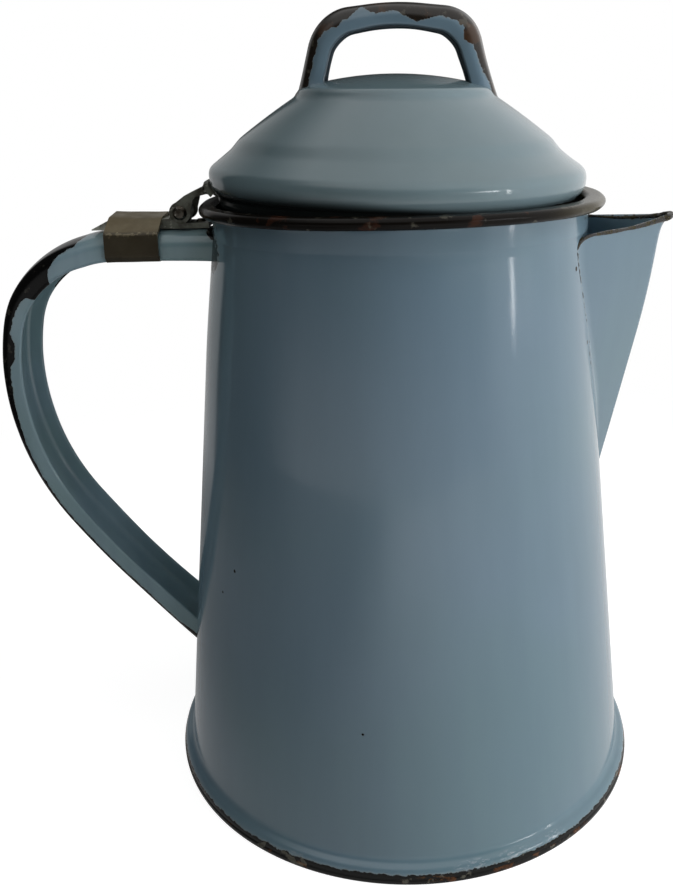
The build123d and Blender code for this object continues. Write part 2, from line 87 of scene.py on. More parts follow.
def rounded(corners, radii, spacing, closed=False):
    # A polyline with each corner replaced by an arc of its radius, tangent to both its sides.
    corners = np.array(corners, float)
    count, runs = len(corners), []
    for i, radius in enumerate(radii):
        here = corners[i]
        if radius <= 0 or (not closed and i in (0, count - 1)):
            runs.append(here[None])
            continue
        a, b = corners[i - 1] - here, corners[(i + 1) % count] - here
        a, b = a / np.linalg.norm(a), b / np.linalg.norm(b)
        half = math.acos(np.clip(a @ b, -1, 1)) / 2
        centre = here + (a + b) / np.linalg.norm(a + b) * radius / math.sin(half)
        first, last = here + a * radius / math.tan(half), here + b * radius / math.tan(half)
        start = math.atan2(*(first - centre)[::-1])
        sweepBy = math.atan2(*(last - centre)[::-1]) - start
        sweepBy = (sweepBy + math.pi) % (2 * math.pi) - math.pi
        steps = max(3, math.ceil(abs(sweepBy) * radius / spacing))
        t = start + np.linspace(0, sweepBy, steps + 1)[:, None]
        runs.append(centre + radius * np.hstack([np.cos(t), np.sin(t)]))
    return np.concatenate(runs)


def refined(line, spacing, closed=False):
    # Every point of the line, with more between them where a stretch is longer than the spacing.
    line = np.vstack([line, line[:1]]) if closed else line
    line = line[np.r_[True, np.linalg.norm(np.diff(line, axis=0), axis=1) > 1e-6]]
    length = np.r_[0, np.cumsum(np.linalg.norm(np.diff(line, axis=0), axis=1))]
    parts = np.maximum(1, np.ceil(np.diff(length) / spacing)).astype(int)
    order = np.arange(parts.sum()) - np.repeat(np.cumsum(parts) - parts, parts)
    at = np.r_[np.repeat(length[:-1], parts) + order * np.repeat(np.diff(length) / parts, parts), length[-1]]
    out = np.column_stack([np.interp(at, length, line[:, k]) for k in range(line.shape[1])])
    return out[:-1] if closed else out


def smooth(value, low, high):
    # 0 below low, 1 above high and 3t^2 - 2t^3 between.
    t = np.clip((value - low) / (high - low), 0, 1)
    return t * t * (3 - 2 * t)


def spun(profile, segments, axisAt=(0, 0, 0), tilt=0.0):
    # The profile (radius, height) turned about an upright axis: (r cos a, r sin a, h), then leant.
    a = np.linspace(0, 2 * math.pi, segments, endpoint=False)[:, None]
    r, h = profile.T[:, None]
    x, y = r * np.cos(a), r * np.sin(a)
    c, s = math.cos(math.radians(tilt)), math.sin(math.radians(tilt))
    return xyz(c * x + s * h, y, c * h - s * x) + axisAt


def carried(path, section, side):
    # A section (across, out) carried along a path (x, z): path + out * normal, across along Y.
    # The section may be one for the whole path or one for each of its points.
    step = np.diff(path, axis=0)
    step /= np.linalg.norm(step, axis=1)[:, None]
    tangent = np.vstack([step[:1], step[:-1] + step[1:], step[-1:]])
    tangent /= np.linalg.norm(tangent, axis=1)[:, None]
    normal = side * np.column_stack([-tangent[:, 1], tangent[:, 0]])
    out = section[..., 1]
    return xyz(path[:, :1] + out * normal[:, :1], section[..., 0], path[:, 1:] + out * normal[:, 1:])


def ripple(points, seed, wavelength, amount):
    # Smooth unevenness: a sum of eight plane waves of nearly one wavelength, from a fixed seed.
    rng = np.random.default_rng(seed)
    k = rng.normal(size=(8, 3))
    k *= (2 * math.pi / wavelength / np.linalg.norm(k, axis=1) * rng.uniform(0.7, 1.4, 8))[:, None]
    return amount * np.sin(points @ k.T + rng.uniform(0, 2 * math.pi, 8)).sum(-1) / 2.8


def uneven(points, seed, look, along):
    # The points, each moved by the piece's ripple times the three shares in along.
    return points + ripple(points, seed, look["waveLength"], look["waves"])[..., None] * along


def quads(index):
    # The faces between neighbouring rows and columns of a grid of point numbers.
    return np.stack([index[:-1, :-1], index[1:, :-1], index[1:, 1:], index[:-1, 1:]], -1).reshape(-1, 4)


def place(name, data):
    # A new object in the scene, at the origin.
    thing = bpy.data.objects.new(name, data)
    scene.collection.objects.link(thing)
    return thing


def setLayer(mesh, key, values):
    # One number at each point, 0 to 1. In wear 0 is sound enamel and 1 is bare, and the material
    # breaks its edge up around 0.5. The shade layer is painted shade and darkens softly.
    layer = mesh.attributes.new(key, "FLOAT", "POINT")
    layer.data.foreach_set("value", np.clip(values, 0, 1).astype(np.float32).ravel())


def makePiece(name, form, grid, body, slot, stands, material, sharp=40, **layers):
    # A grid of points (u, v, 3) in millimetres becomes a closed, smooth mesh on its body. A bowl
    # closes along u and meets itself on its axis, a ring closes both ways, and a strip closes along
    # v and gets a face at each end.
    index = np.arange(grid[..., 0].size).reshape(grid.shape[:2])
    rows = index if form == "strip" else np.vstack([index, index[:1]])
    both = rows if form == "bowl" else np.hstack([rows, rows[:, :1]])
    faces = quads(both).tolist()
    if form == "strip":
        faces += [index[0].tolist(), index[-1][::-1].tolist()]
    mesh = bpy.data.meshes.new(name)
    mesh.from_pydata((grid.reshape(-1, 3) * mm).tolist(), [], faces)
    for key, values in layers.items():
        setLayer(mesh, key, values)
    return finishPiece(name, mesh, body, stands, material, sharp)


def finishPiece(name, mesh, body, stands, material, sharp):
    # Points that meet are merged and the faces turned outwards. Edges stay sharp above that angle.
    work = bmesh.new()
    work.from_mesh(mesh)
    bmesh.ops.remove_doubles(work, verts=work.verts, dist=2e-6)
    bmesh.ops.dissolve_degenerate(work, edges=work.edges, dist=1e-6)
    bmesh.ops.recalc_face_normals(work, faces=work.faces)
    work.to_mesh(mesh)
    work.free()
    mesh.shade_smooth()
    mesh.set_sharp_from_angle(angle=math.radians(sharp))
    piece = place(name, mesh)
    mesh.materials.clear()
    mesh.materials.append(material)
    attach(piece, body)
    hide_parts(*stands)
    return piece


def pointsOf(piece):
    # A piece's points in millimetres.
    co = np.empty(len(piece.data.vertices) * 3, np.float32)
    piece.data.vertices.foreach_get("co", co)
    return co.reshape(-1, 3).astype(float) / mm


def copyOf(nodeName, name, body, material, bevel):
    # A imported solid's own mesh, merged, with its hard edges softened by a bevel of that width.
    mesh = nodes[nodeName].data.copy()
    piece = finishPiece(name, mesh, body, [nodeName], material, 30)
    soften = piece.modifiers.new("soften", "BEVEL")
    soften.width = bevel * mm
    soften.segments = 3
    soften.limit_method = "ANGLE"
    soften.angle_limit = math.radians(35)
    soften.harden_normals = False
    return piece


# Materials: built from nodes, on Object coordinates and each piece's own wear attribute

def node(tree, kind, settings=None, **inputs):
    # A shader node. Each input is a socket to link or a value to set, under its own name or, as i0,
    # i1 and so on, by its place.
    made = tree.nodes.new("ShaderNode" + kind)
    for key, value in (settings or {}).items():
        setattr(made, key, value)
    for key, value in inputs.items():
        socket = made.inputs[int(key[1:])] if key[0] == "i" and key[1:].isdigit() else made.inputs[key]
        if isinstance(value, bpy.types.NodeSocket):
            tree.links.new(value, socket)
        else:
            socket.default_value = value
    return made


def srgb(*levels):
    # A colour as it is seen on a screen, 0 to 255, as the linear one that a shader takes.
    v = np.array(levels) / 255
    return (*np.where(v <= 0.04045, v / 12.92, ((v + 0.055) / 1.055) ** 2.4).tolist(), 1)


def noise(tree, where, scale, detail, rough=0.5):
    # Cloudy noise from 0 to 1 around a half, with about scale clouds in a metre.
    return node(tree, "TexNoise", Vector=where, Scale=scale, Detail=detail, Roughness=rough).outputs[0]


def span(tree, value, low, high, toLow=0.0, toHigh=1.0):
    # A smooth step from toLow to toHigh while the value goes from low to high.
    made = node(tree, "MapRange", {"interpolation_type": "SMOOTHSTEP"}, Value=value)
    for key, level in (("From Min", low), ("From Max", high), ("To Min", toLow), ("To Max", toHigh)):
        made.inputs[key].default_value = level
    return made.outputs[0]


def mixed(tree, share, first, second):
    # first + share * (second - first). Each is a colour's socket or its levels as seen on a screen.
    first, second = (c if isinstance(c, bpy.types.NodeSocket) else srgb(*c) for c in (first, second))
    return node(tree, "Mix", {"data_type": "RGBA"}, i0=share, i6=first, i7=second).outputs[2]


def between(tree, share, first, second):
    # The same for two numbers.
    return node(tree, "Mix", {"data_type": "FLOAT"}, i0=share, i2=first, i3=second).outputs[0]


def sums(tree, operation, first, second):
    # Two numbers added, multiplied and so on.
    return node(tree, "Math", {"operation": operation}, i0=first, i1=second).outputs[0]


def times(tree, first, second):
    # first * second.
    return sums(tree, "MULTIPLY", first, second)


def layerOf(tree, key):
    # The number that the mesh keeps at each point under that key.
    return node(tree, "Attribute", {"attribute_name": key}).outputs["Fac"]


def gapTo(tree, where, spot):
    # The distance from a spot.
    return node(tree, "VectorMath", {"operation": "DISTANCE"}, i0=where, i1=spot).outputs["Value"]


def alongX(tree, where):
    # The first coordinate alone.
    return node(tree, "SeparateXYZ", Vector=where).outputs["X"]


def makeMaterial(name, shadeWith):
    # A material whose shader is shadeWith(tree, Object coordinates).
    material = bpy.data.materials.new(name)
    material.use_nodes = True
    tree = material.node_tree
    tree.nodes.clear()
    shader = shadeWith(tree, node(tree, "TexCoord").outputs["Object"])
    node(tree, "OutputMaterial", Surface=shader.outputs[0])
    return material


def wornEdge(tree, where, look):
    # wear + raggedness * (noise - 0.5): the piece's wear with its edges broken up.
    ragged = sums(tree, "SUBTRACT", noise(tree, where, look["chipScale"], 5, look["chipRough"]), 0.5)
    return sums(tree, "ADD", layerOf(tree, "wear"), times(tree, ragged, look["raggedness"]))


def roughOf(tree, where, look):
    # A roughness that drifts from rough to rough + roughSpread in soft clouds.
    clouds = noise(tree, where, look["roughScale"], 3)
    return span(tree, clouds, 0.3, 0.7, look["rough"], look["rough"] + look["roughSpread"])


def enamel(name, look):
    # Glassy enamel: two tones in broad clouds and faint upright streaks. Where the worn edge passes
    # bareSpan it is chipped to dark iron with rust, inside a pale halo. Scuffs, rust spots and painted
    # highlights lie on top, then painted shade, and worn or shaded places shine less.
    def shadeWith(tree, where):
        broad = span(tree, noise(tree, where, look["cloudScale"], 3), *look["cloudSpan"])
        colour = mixed(tree, broad, look["colour"], look["cloud"])
        upright = node(tree, "Mapping", Vector=where, Scale=look["streakStretch"]).outputs[0]
        streaks = noise(tree, upright, look["streakScale"], 3)
        streaks = span(tree, streaks, *look["streakSpan"], 0, look["streaks"])
        colour = mixed(tree, streaks, colour, look["streak"])
        edge = wornEdge(tree, where, look)
        for spot, size in look.get("specks", []):
            near = span(tree, gapTo(tree, where, [c * mm for c in spot]), size * mm * 1.15, size * mm * 0.7)
            edge = sums(tree, "MAXIMUM", edge, near)
        bare = span(tree, edge, *look["bareSpan"])
        thin = span(tree, edge, *look["thinSpan"])
        rust = noise(tree, where, look["rustScale"], 4, 0.6)
        rust = span(tree, rust, look["rustFrom"], look["rustFrom"] + look["rustSoft"])
        worn = mixed(tree, rust, look["under"], look["rust"])
        pale = noise(tree, where, look["rustScale"] * look["paleFiner"], 3)
        worn = mixed(tree, span(tree, pale, *look["paleSpan"], 0, look["paleChips"]), worn, look["pale"])
        if "patinaAndLight" in look:  # the rim is duller, greener and lighter towards the spout: patina and painted light
            worn = mixed(tree, span(tree, alongX(tree, where), *look["patinaAndLightSpan"]), worn, look["patinaAndLight"])
        colour = mixed(tree, times(tree, thin, look["halo"]), colour, look["pale"])
        colour = mixed(tree, bare, colour, worn)
        flat = node(tree, "Mapping", Vector=where, Scale=look["scuffStretch"]).outputs[0]
        # Marks: scuffs, rust and, on the foot, painted highlights, each broken up by scratches.
        for spot, size, tone in look.get("scuffsAndHighlights", []):
            gap = gapTo(tree, flat, [c * k * mm for c, k in zip(spot, look["scuffStretch"])])
            scratches = span(tree, noise(tree, flat, look["scuffScale"], 5, 0.75), *look["scuffSpan"])
            share = times(tree, span(tree, gap, size * mm, size * mm * 0.3), scratches)
            colour = mixed(tree, share, colour, tone)
        # Painted shade: this layer darkens the colour towards the chips' dark tone and lowers the shine.
        soot = layerOf(tree, "soot")
        colour = mixed(tree, soot, colour, look["under"])
        shine = between(tree, sums(tree, "MAXIMUM", bare, soot), look["shine"], look["wornShine"])
        rough = between(tree, bare, roughOf(tree, where, look), look["wornRough"])
        height = times(tree, noise(tree, where, look["waveScale"], 1.5), look["waves"])
        grain = times(tree, noise(tree, where, look["grainScale"], 2), look["grain"])
        height = sums(tree, "ADD", height, grain)
        height = sums(tree, "SUBTRACT", height, times(tree, bare, look["chipDepth"]))
        relief = node(tree, "Bump", Height=height, Distance=mm, Strength=1.0)
        return node(tree, "BsdfPrincipled", Normal=relief.outputs[0], Roughness=rough, IOR=look["ior"],
                    **{"Base Color": colour, "Specular IOR Level": shine})
    return makeMaterial(name, shadeWith)


def agedMetal(name, look):
    # Dull metal in patches of two tones, bright where the worn edge passes brightSpan, under painted
    # shade. On the band's folds and the strap's tail the bright metal is also a painted highlight.
    def shadeWith(tree, where):
        patch = span(tree, noise(tree, where, look["patchScale"], 4, 0.6), *look["patchSpan"])
        colour = mixed(tree, patch, look["colour"], look["patch"])
        bright = span(tree, wornEdge(tree, where, look), *look["brightSpan"])
        colour = mixed(tree, bright, colour, look["bright"])
        colour = mixed(tree, layerOf(tree, "soot"), colour, look["soot"])
        rough = between(tree, bright, roughOf(tree, where, look), look["brightRough"])
        height = times(tree, noise(tree, where, look["chipScale"], 4), look["grain"])
        relief = node(tree, "Bump", Height=height, Distance=mm, Strength=1.0)
        return node(tree, "BsdfPrincipled", Normal=relief.outputs[0], Roughness=rough,
                    Metallic=look["metal"], **{"Base Color": colour})
    return makeMaterial(name, shadeWith)


# Colours are as seen on a screen, places and sizes of specks, scuffs and painted highlights are in
# millimetres
enamelLook = dict(
    colour=(109, 131, 146), cloud=(104, 129, 138), cloudScale=11, cloudSpan=(0.32, 0.68),
    streak=(97, 119, 134), streaks=0.25, streakScale=160, streakSpan=(0.3, 0.75), streakStretch=(1, 1, 0.12),
    chipScale=620, chipRough=0.62, raggedness=0.75, bareSpan=(0.49, 0.53), thinSpan=(0.36, 0.50), halo=0.25,
    under=(14, 14, 12), rust=(66, 40, 22), rustScale=140, rustFrom=0.66, rustSoft=0.08,
    pale=(150, 146, 130), paleChips=0.3, paleSpan=(0.62, 0.68), paleFiner=2.3,
    scuffStretch=(0.4, 0.4, 2), scuffScale=1300, scuffSpan=(0.50, 0.60),
    rough=0.07, roughSpread=0.05, roughScale=35, wornRough=0.24, ior=1.52, shine=0.5, wornShine=0.2,
    waveScale=26, waves=0.35, grainScale=900, grain=0.006, chipDepth=0.16,
)
bodyLook = dict(
    enamelLook,
    specks=[((-9.3, -58.7, 38.6), 0.4), ((-40.9, -37.9, 71.0), 0.5), ((-45.1, -34.2, 63.0), 0.4),
            ((41.3, -23.8, 141.8), 0.8), ((46.1, -18.9, 122.9), 0.6), ((47.1, -17.4, 119.5), 0.7),
            ((47.7, -16.7, 116.9), 0.6)],
    # The three pale bluish spots on the foot's front right are painted highlights broken up like scratches;
    # the brown one is rust and the left one a scuff.
    scuffsAndHighlights=[((17.5, -63.2, 3.3), 2.6, (160, 170, 176)), ((27.5, -60.0, 3.4), 2.4, (160, 170, 176)),
            ((38.0, -53.8, 3.4), 2.0, (160, 170, 176)), ((7.5, -65.6, 1.7), 2.2, (92, 62, 32)),
            ((-27.0, -60.0, 3.0), 1.4, (140, 150, 154))],
)
bodyEnamel = enamel("bodyEnamel", bodyLook)
footEnamel = enamel("footEnamel", dict(bodyLook, rustFrom=0.56, rust=(84, 50, 24)))
# The rim's lighter olive towards the spout is painted light on the lit side, with a greener tone.
rimEnamel = enamel("rimEnamel", dict(
    enamelLook, colour=(24, 20, 15), cloud=(32, 27, 19), cloudScale=60, streak=(18, 16, 12),
    under=(15, 12, 9), rust=(52, 30, 20), rustFrom=0.57, paleChips=0.2, halo=0, rough=0.16,
    wornShine=0.12, patinaAndLight=(68, 62, 44), patinaAndLightSpan=(0.030, 0.049),
))
lidEnamel = enamel("lidEnamel", dict(
    enamelLook, colour=(117, 135, 138), cloud=(111, 132, 140), streak=(106, 126, 131), waves=0.3,
))
knobEnamel = enamel("knobEnamel", dict(
    enamelLook, colour=(112, 132, 145), cloud=(102, 125, 138), under=(30, 25, 20), rust=(60, 43, 30),
    rustScale=110, rustFrom=0.5, chipScale=640, raggedness=1.0, paleChips=0.15, wornRough=0.2,
    wornShine=0.4,
))
# The handle has the pot's enamel painted much lighter: painted light on the handle.
handleEnamelPaintedLight = enamel("handleEnamelPaintedLight", dict(
    enamelLook, colour=(142, 167, 178), cloud=(130, 157, 160), cloudScale=30, under=(10, 10, 10),
    rust=(30, 23, 17), chipScale=480, raggedness=0.62, paleChips=0.1, wornRough=0.16,
))
# The shade colour here is the dark tone that painted shade gives the metal.
metalLook = dict(
    patchSpan=(0.35, 0.65), chipRough=0.65, raggedness=1.1, brightSpan=(0.5, 0.62), soot=(24, 20, 13),
    roughScale=240, roughSpread=0.16,
)
bandMetal = agedMetal("bandMetal", dict(
    metalLook, colour=(110, 99, 74), patch=(94, 83, 60), patchScale=120, bright=(176, 162, 128),
    chipScale=900, rough=0.34, brightRough=0.3, grain=0.05, metal=0.35,
))
hingeMetal = agedMetal("hingeMetal", dict(
    metalLook, colour=(62, 60, 50), patch=(112, 114, 104), patchScale=230, bright=(176, 176, 164),
    chipScale=1100, rough=0.28, brightRough=0.22, grain=0.06, metal=0.5,
))
rivetMetal = agedMetal("rivetMetal", dict(
    metalLook, colour=(96, 92, 84), patch=(60, 54, 46), patchScale=500, bright=(190, 188, 180),
    chipScale=1400, rough=0.25, brightRough=0.2, grain=0.04, metal=0.9,
))
print("materials made")


# Body: tapered wall, flared foot and a rim rolled round its wire

body = dict(
    footRadius=66.0, wallFoot=63.8, wallRim=46.0, rimHeight=156.6, ringRadius=47.85, rimHalfWidth=2.35,
    rimHalfHeight=1.35, lipHeight=1.5, bulgeRadius=3.0, coveRadius=2.6, sheet=1.0, neckHeight=149.6,
    settleFrom=118.0, rimDip=1.2, rimShift=0.6, rimSpread=0.5,
    segments=320, spacing=2.6, neckSpacing=0.3, arcSpacing=0.35,
    waves=0.16, waveLength=95, rollWaves=[(9, 0.08, 1.2), (23, 0.06, 0)], rollSpan=(154.2, 155.7),
    rimWornFrom=152.5, footWorn=2.3, footWornInside=62, chippedBelow=153.6,
    # chips round the handle's top, beside it and round its tail: (across, height, half width, half
    # height, edge, most, share)
    chipped=[(0, 146.6, 9.2, 4.9, 1.56, 0.6, 1), (-13, 146, 10.5, 6.5, 1.15, 0.62, 1),
             (0, 38, 9.0, 6.5, 1.32, 1, 0.75)],
    holeRadius=1.5, holePitch=7.2, rowPitch=7.6, rows=6, firstRow=96.0, holeSides=24, rodEnds=(38, 64),
)
lean = math.atan((body["wallFoot"] - body["wallRim"]) / body["rimHeight"])
rollEdge = body["rimHalfWidth"] - body["rimHalfHeight"]


def wallRadius(height):
    # The wall's outer face: its radius at the table less the taper times the height.
    return body["wallFoot"] - (body["wallFoot"] - body["wallRim"]) / body["rimHeight"] * height


def flare(inset):
    # The foot's two arcs from the skirt's edge up to the wall, drawn in by the inset.
    offset = (body["footRadius"] - body["bulgeRadius"] - wallRadius(body["lipHeight"])) * math.cos(lean)
    both = body["bulgeRadius"] + body["coveRadius"]
    turn = math.degrees(lean) + 90 - math.degrees(math.asin((body["coveRadius"] - offset) / both))
    moves = [(body["bulgeRadius"] - inset, turn), (body["coveRadius"] + inset, math.degrees(lean) - turn)]
    return walk((body["footRadius"] - inset, body["lipHeight"]), 90, moves, body["arcSpacing"])[0]


def bodyProfile():
    # Up the outside from the skirt's edge, round the flattened roll and down the inside.
    outer, inner = flare(0), flare(body["sheet"])
    high = body["rimHalfHeight"]
    slant = np.array([body["sheet"] / math.cos(lean), 0])
    neck = np.array([wallRadius(body["neckHeight"]), body["neckHeight"]])
    under = np.array([neck[0] - 0.2, body["rimHeight"] - high + 0.1])  # the roll starts just inside the wall
    moves = [(body["ringRadius"] + rollEdge - under[0],), (high, 180), (2 * rollEdge,), (high, 90)]
    roll = walk(under - [0, 0.1], 0, moves, body["arcSpacing"])[0]
    wall = refined(np.vstack([outer[-1], neck]), body["spacing"])
    upper = refined(np.vstack([neck, under]), body["neckSpacing"])
    inside = refined(np.vstack([roll[-1], neck - slant, inner[-1]]), body["spacing"])
    return np.vstack([outer[:-1], wall, upper[1:], roll[1:], inside[1:], inner[::-1][1:]])


def settled(points):
    # The mouth sits a little towards the spout and dips at both sides: offsets that grow with height.
    x, y, z = np.moveaxis(points, -1, 0)
    share = smooth(z, body["settleFrom"], body["rimHeight"])
    across = np.hypot(x, y)
    outward = np.clip((across - body["ringRadius"]) / body["rimHalfWidth"] + 1, 0, 2) / 2
    shift = share * (body["rimShift"] + body["rimSpread"] * outward * (z > body["neckHeight"]))
    return xyz(shift, 0, -body["rimDip"] * (x / np.clip(across, 1e-6, None)) ** 2 * share)


def fromRoll(across, height):
    # The distance from the flat middle line of the rim's roll.
    beside = np.clip(np.abs(across - body["ringRadius"]) - rollEdge, 0, None)
    return np.hypot(beside, height - body["rimHeight"])


bodyGrid = spun(bodyProfile(), body["segments"])
x, y, z = np.moveaxis(bodyGrid, -1, 0)
around, across = np.arctan2(y, x), np.hypot(x, y)
rimWear = np.clip(1.2 - (fromRoll(across, z) - body["rimHalfHeight"]) / 0.5, 0, 1) * (z > body["rimWornFrom"])
footWear = np.clip(1.0 - (z - body["lipHeight"]) / body["footWorn"], 0, 1) * (across > body["footWornInside"])
outerSkin = (x < 0) * (z < body["chippedBelow"]) * (across > wallRadius(z) - body["sheet"] / 2)
bodyWear = np.maximum(rimWear, footWear)
for chipY, chipZ, halfWidth, halfHeight, edge, most, share in body["chipped"]:
    gap = np.hypot((y - chipY) / halfWidth, (z - chipZ) / halfHeight)
    bodyWear = np.maximum(bodyWear, np.clip(edge - gap, 0, most) * share * outerSkin)
push = ripple(bodyGrid, 3, body["waveLength"], body["waves"])  # hand-raised sheet is never quite true
for count, amount, phase in body["rollWaves"]:
    push = push + smooth(z, *body["rollSpan"]) * amount * np.sin(count * around + phase)
push = push * np.clip((z - body["lipHeight"]) / 6, 0, 1)
bodyGrid = bodyGrid + settled(bodyGrid) + push[..., None] * xyz(np.cos(around), np.sin(around), 0)
bodyWall = makePiece("bodyWall", "ring", bodyGrid, "pot", "body_enamel", ["body_shell", "rim_wire"],
                     bodyEnamel, wear=bodyWear)


def drillWall(piece):
    # Strainer holes through the wall behind the spout, one more in each row going up: at each place
    # (y, z) a rod along X, radius * (cos a, sin a) at both its ends, is taken away from the wall.
    rows = np.arange(body["rows"])
    y = np.concatenate([(np.arange(r + 1) - r / 2) * body["holePitch"] for r in rows])
    z = np.concatenate([np.full(r + 1, body["firstRow"] + r * body["rowPitch"]) for r in rows])
    a = np.linspace(0, 2 * math.pi, body["holeSides"], endpoint=False)
    ring = xyz(0, body["holeRadius"] * np.cos(a), body["holeRadius"] * np.sin(a))
    rods = ring + xyz(np.array(body["rodEnds"]), 0, 0)[:, None] + xyz(0, y, z)[:, None, None]
    index = np.arange(rods[..., 0].size).reshape(rods.shape[:3])
    after = np.roll(index, -1, axis=2)
    sides = np.stack([index[:, 0], after[:, 0], after[:, 1], index[:, 1]], -1).reshape(-1, 4)
    faces = sides.tolist() + index[:, 0, ::-1].tolist() + index[:, 1].tolist()
    mesh = bpy.data.meshes.new("rods")
    mesh.from_pydata((rods.reshape(-1, 3) * mm).tolist(), [], faces)
    cutter = place("rods", mesh)
    cut = piece.modifiers.new("strainer", "BOOLEAN")
    cut.operation, cut.solver, cut.object = "DIFFERENCE", "EXACT", cutter
    made = bpy.data.meshes.new_from_object(piece.evaluated_get(bpy.context.evaluated_depsgraph_get()))
    piece.modifiers.clear()
    piece.data = made
    bpy.data.objects.remove(cutter)


drillWall(bodyWall)
bodyWall.data.materials.append(rimEnamel)
middle = np.empty(len(bodyWall.data.polygons) * 3)
bodyWall.data.polygons.foreach_get("center", middle)
middle = middle.reshape(-1, 3) / mm
middle = middle - settled(middle)
isRim = fromRoll(np.hypot(middle[:, 0], middle[:, 1]), middle[:, 2]) < body["rimHalfHeight"] + 0.3
bodyWall.data.polygons.foreach_set("material_index", isRim.astype(np.int32))
print("body made")


# Base pan: the floor and the ring that the pot stands on

pan = dict(
    corners=[(0, 4.0), (61.4, 4.0), (62.6, 5.4), (63.2, 4.2), (64.9, 1.45), (66.25, 1.45), (66.25, 0),
             (62.4, 0), (62.4, 3.0), (0, 3.0)],
    radii=[0, 1.2, 0.2, 0.3, 0.05, 0.45, 0.3, 0.6, 0.8, 0], spacing=3.0, segments=256,
    ringFrom=61.8, ringTop=2.4, wornFrom=60,
)
panGrid = spun(refined(rounded(pan["corners"], pan["radii"], 0.2), pan["spacing"]), pan["segments"])
across = np.hypot(panGrid[..., 0], panGrid[..., 1])
panWear = np.where(across > pan["ringFrom"], 1.0 - 0.5 * (panGrid[..., 2] > pan["ringTop"]),
                   np.clip((across - pan["wornFrom"]) / 3, 0, 0.6))
makePiece("basePan", "bowl", panGrid, "pot", "body_enamel", ["base_pan"], footEnamel, wear=panWear)
print("base made")


# Spout: a folded V whose sheet flows into the wall, with a thick dark edge

spout = dict(
    apex=81.0, top=148.5, tipRise=1.5, tipShare=0.42, halfWidth=23.6, fullWidthAt=143.0, widthCurve=1.33,
    slope=0.319, easeFrom=118.0, ease=0.0026, tipFlare=2.0, tipFlareHeight=1.6,
    noseTop=3.6, noseFoot=0.25, noseGrows=12, fillet=2.2, filletGrows=25, proud=0.10,
    cornerShare=0.11, cornerDrop=5.2, sheet=0.8, columns=150, rows=110, columnShift=0.055,
    edgeRadius=0.5, tipRadius=0.9, edgeTipShare=0.3, waves=0.10, waveLength=26,
    seamWorn=0.6, seamWornFrom=(108, 116), topWorn=0.46, topWornFrom=(147.6, 148.8),
)


def spoutSection(t, height):
    # One level line of the fold: t runs 0 to 1 from one seam round the nose to the other. It is the
    # nose's arc, a straight side that touches it, and a fillet curve that ends along the wall.
    u = np.clip((height - spout["apex"]) / (spout["fullWidthAt"] - spout["apex"]), 1e-3, 1)
    rise = np.clip(height - spout["apex"], 0.05, None)
    line = spout["halfWidth"] * (1 - (1 - u) ** spout["widthCurve"])  # where the sheet's rim lies on the wall
    reach = spout["slope"] * rise - spout["ease"] * np.clip(height - spout["easeFrom"], 0, None) ** 2
    belowTip = np.clip(height - spout["top"] - spout["tipRise"], None, 0)
    reach = reach + spout["tipFlare"] * np.exp(belowTip / spout["tipFlareHeight"])
    growth = spout["noseFoot"] + (1 - spout["noseFoot"]) * rise / (spout["top"] - spout["apex"])
    nose = spout["noseTop"] * growth * np.clip(rise / spout["noseGrows"], 0.1, 1)
    wall = wallRadius(height)
    fillet = spout["fillet"] * np.clip(rise / spout["filletGrows"], 0.15, 1)
    half = np.clip(line - 0.8 * fillet, 0.2, None)
    seamX = np.sqrt(wall**2 - half**2)
    centre = wall + reach - nose
    reachTo = np.hypot(centre - seamX, half)
    tilt = np.arctan2(half, centre - seamX) - np.arcsin(np.clip(nose / reachTo, 0, 0.95))
    arc = math.pi / 2 - tilt
    sideRun = np.sqrt(np.clip(reachTo**2 - nose**2, 1e-4, None))
    s = np.abs(2 * t - 1) * (sideRun + nose * arc + fillet)  # distance from the nose line along one side
    a = np.clip(s / nose, 0, arc)
    run = np.clip(s - nose * arc, 0, sideRun - fillet)
    x = centre + nose * np.cos(a) - run * np.cos(tilt)
    y = nose * np.sin(a) + run * np.sin(tilt)
    bend = np.clip((s - nose * arc - sideRun + fillet) / (2 * fillet), 0, 1)
    lift = wall + spout["proud"]
    seamAngle = np.arcsin(np.clip(half / wall, 0, 1))
    endAngle = np.arcsin(np.clip(line / wall, 0, 1))
    startX = centre + nose * np.cos(arc) - (sideRun - fillet) * np.cos(tilt)
    startY = nose * np.sin(arc) + (sideRun - fillet) * np.sin(tilt)
    first, middle, last = (1 - bend) ** 2, 2 * bend * (1 - bend), bend**2
    bentX = first * startX + middle * lift * np.cos(seamAngle) + last * lift * np.cos(endAngle)
    bentY = first * startY + middle * lift * np.sin(seamAngle) + last * lift * np.sin(endAngle)
    x, y = np.where(bend > 0, bentX, x), np.where(bend > 0, bentY, y)
    return xyz(x, np.where(t < 0.5, -y, y), height)


def spoutTop(t):
    # The cut edge's height: rounded down to the wall at both seams, a little higher at the tip.
    fromSeam = np.clip(np.minimum(t, 1 - t) / spout["cornerShare"], 0, 1)
    corner = 1 - np.sqrt(np.clip(1 - (1 - fromSeam) ** 2, 0, 1))
    tip = np.clip(1 - np.abs(2 * t - 1) / spout["tipShare"], 0, 1) ** 1.6
    return spout["top"] + spout["tipRise"] * tip - spout["cornerDrop"] * corner


def withWall(sheetGrid, thick):
    # The sheet and its inner face, as one closed surface: the inner one is moved along the normals.
    normal = np.cross(np.gradient(sheetGrid, axis=1), np.gradient(sheetGrid, axis=0))
    normal /= np.clip(np.linalg.norm(normal, axis=-1), 1e-9, None)[..., None]
    insideFold = np.array([wallRadius(120), 0, 120])
    outward = np.sign((normal * (sheetGrid - insideFold)).sum())
    inner = sheetGrid - outward * normal * thick
    return np.concatenate([sheetGrid, inner[:, ::-1]], axis=1), normal * outward


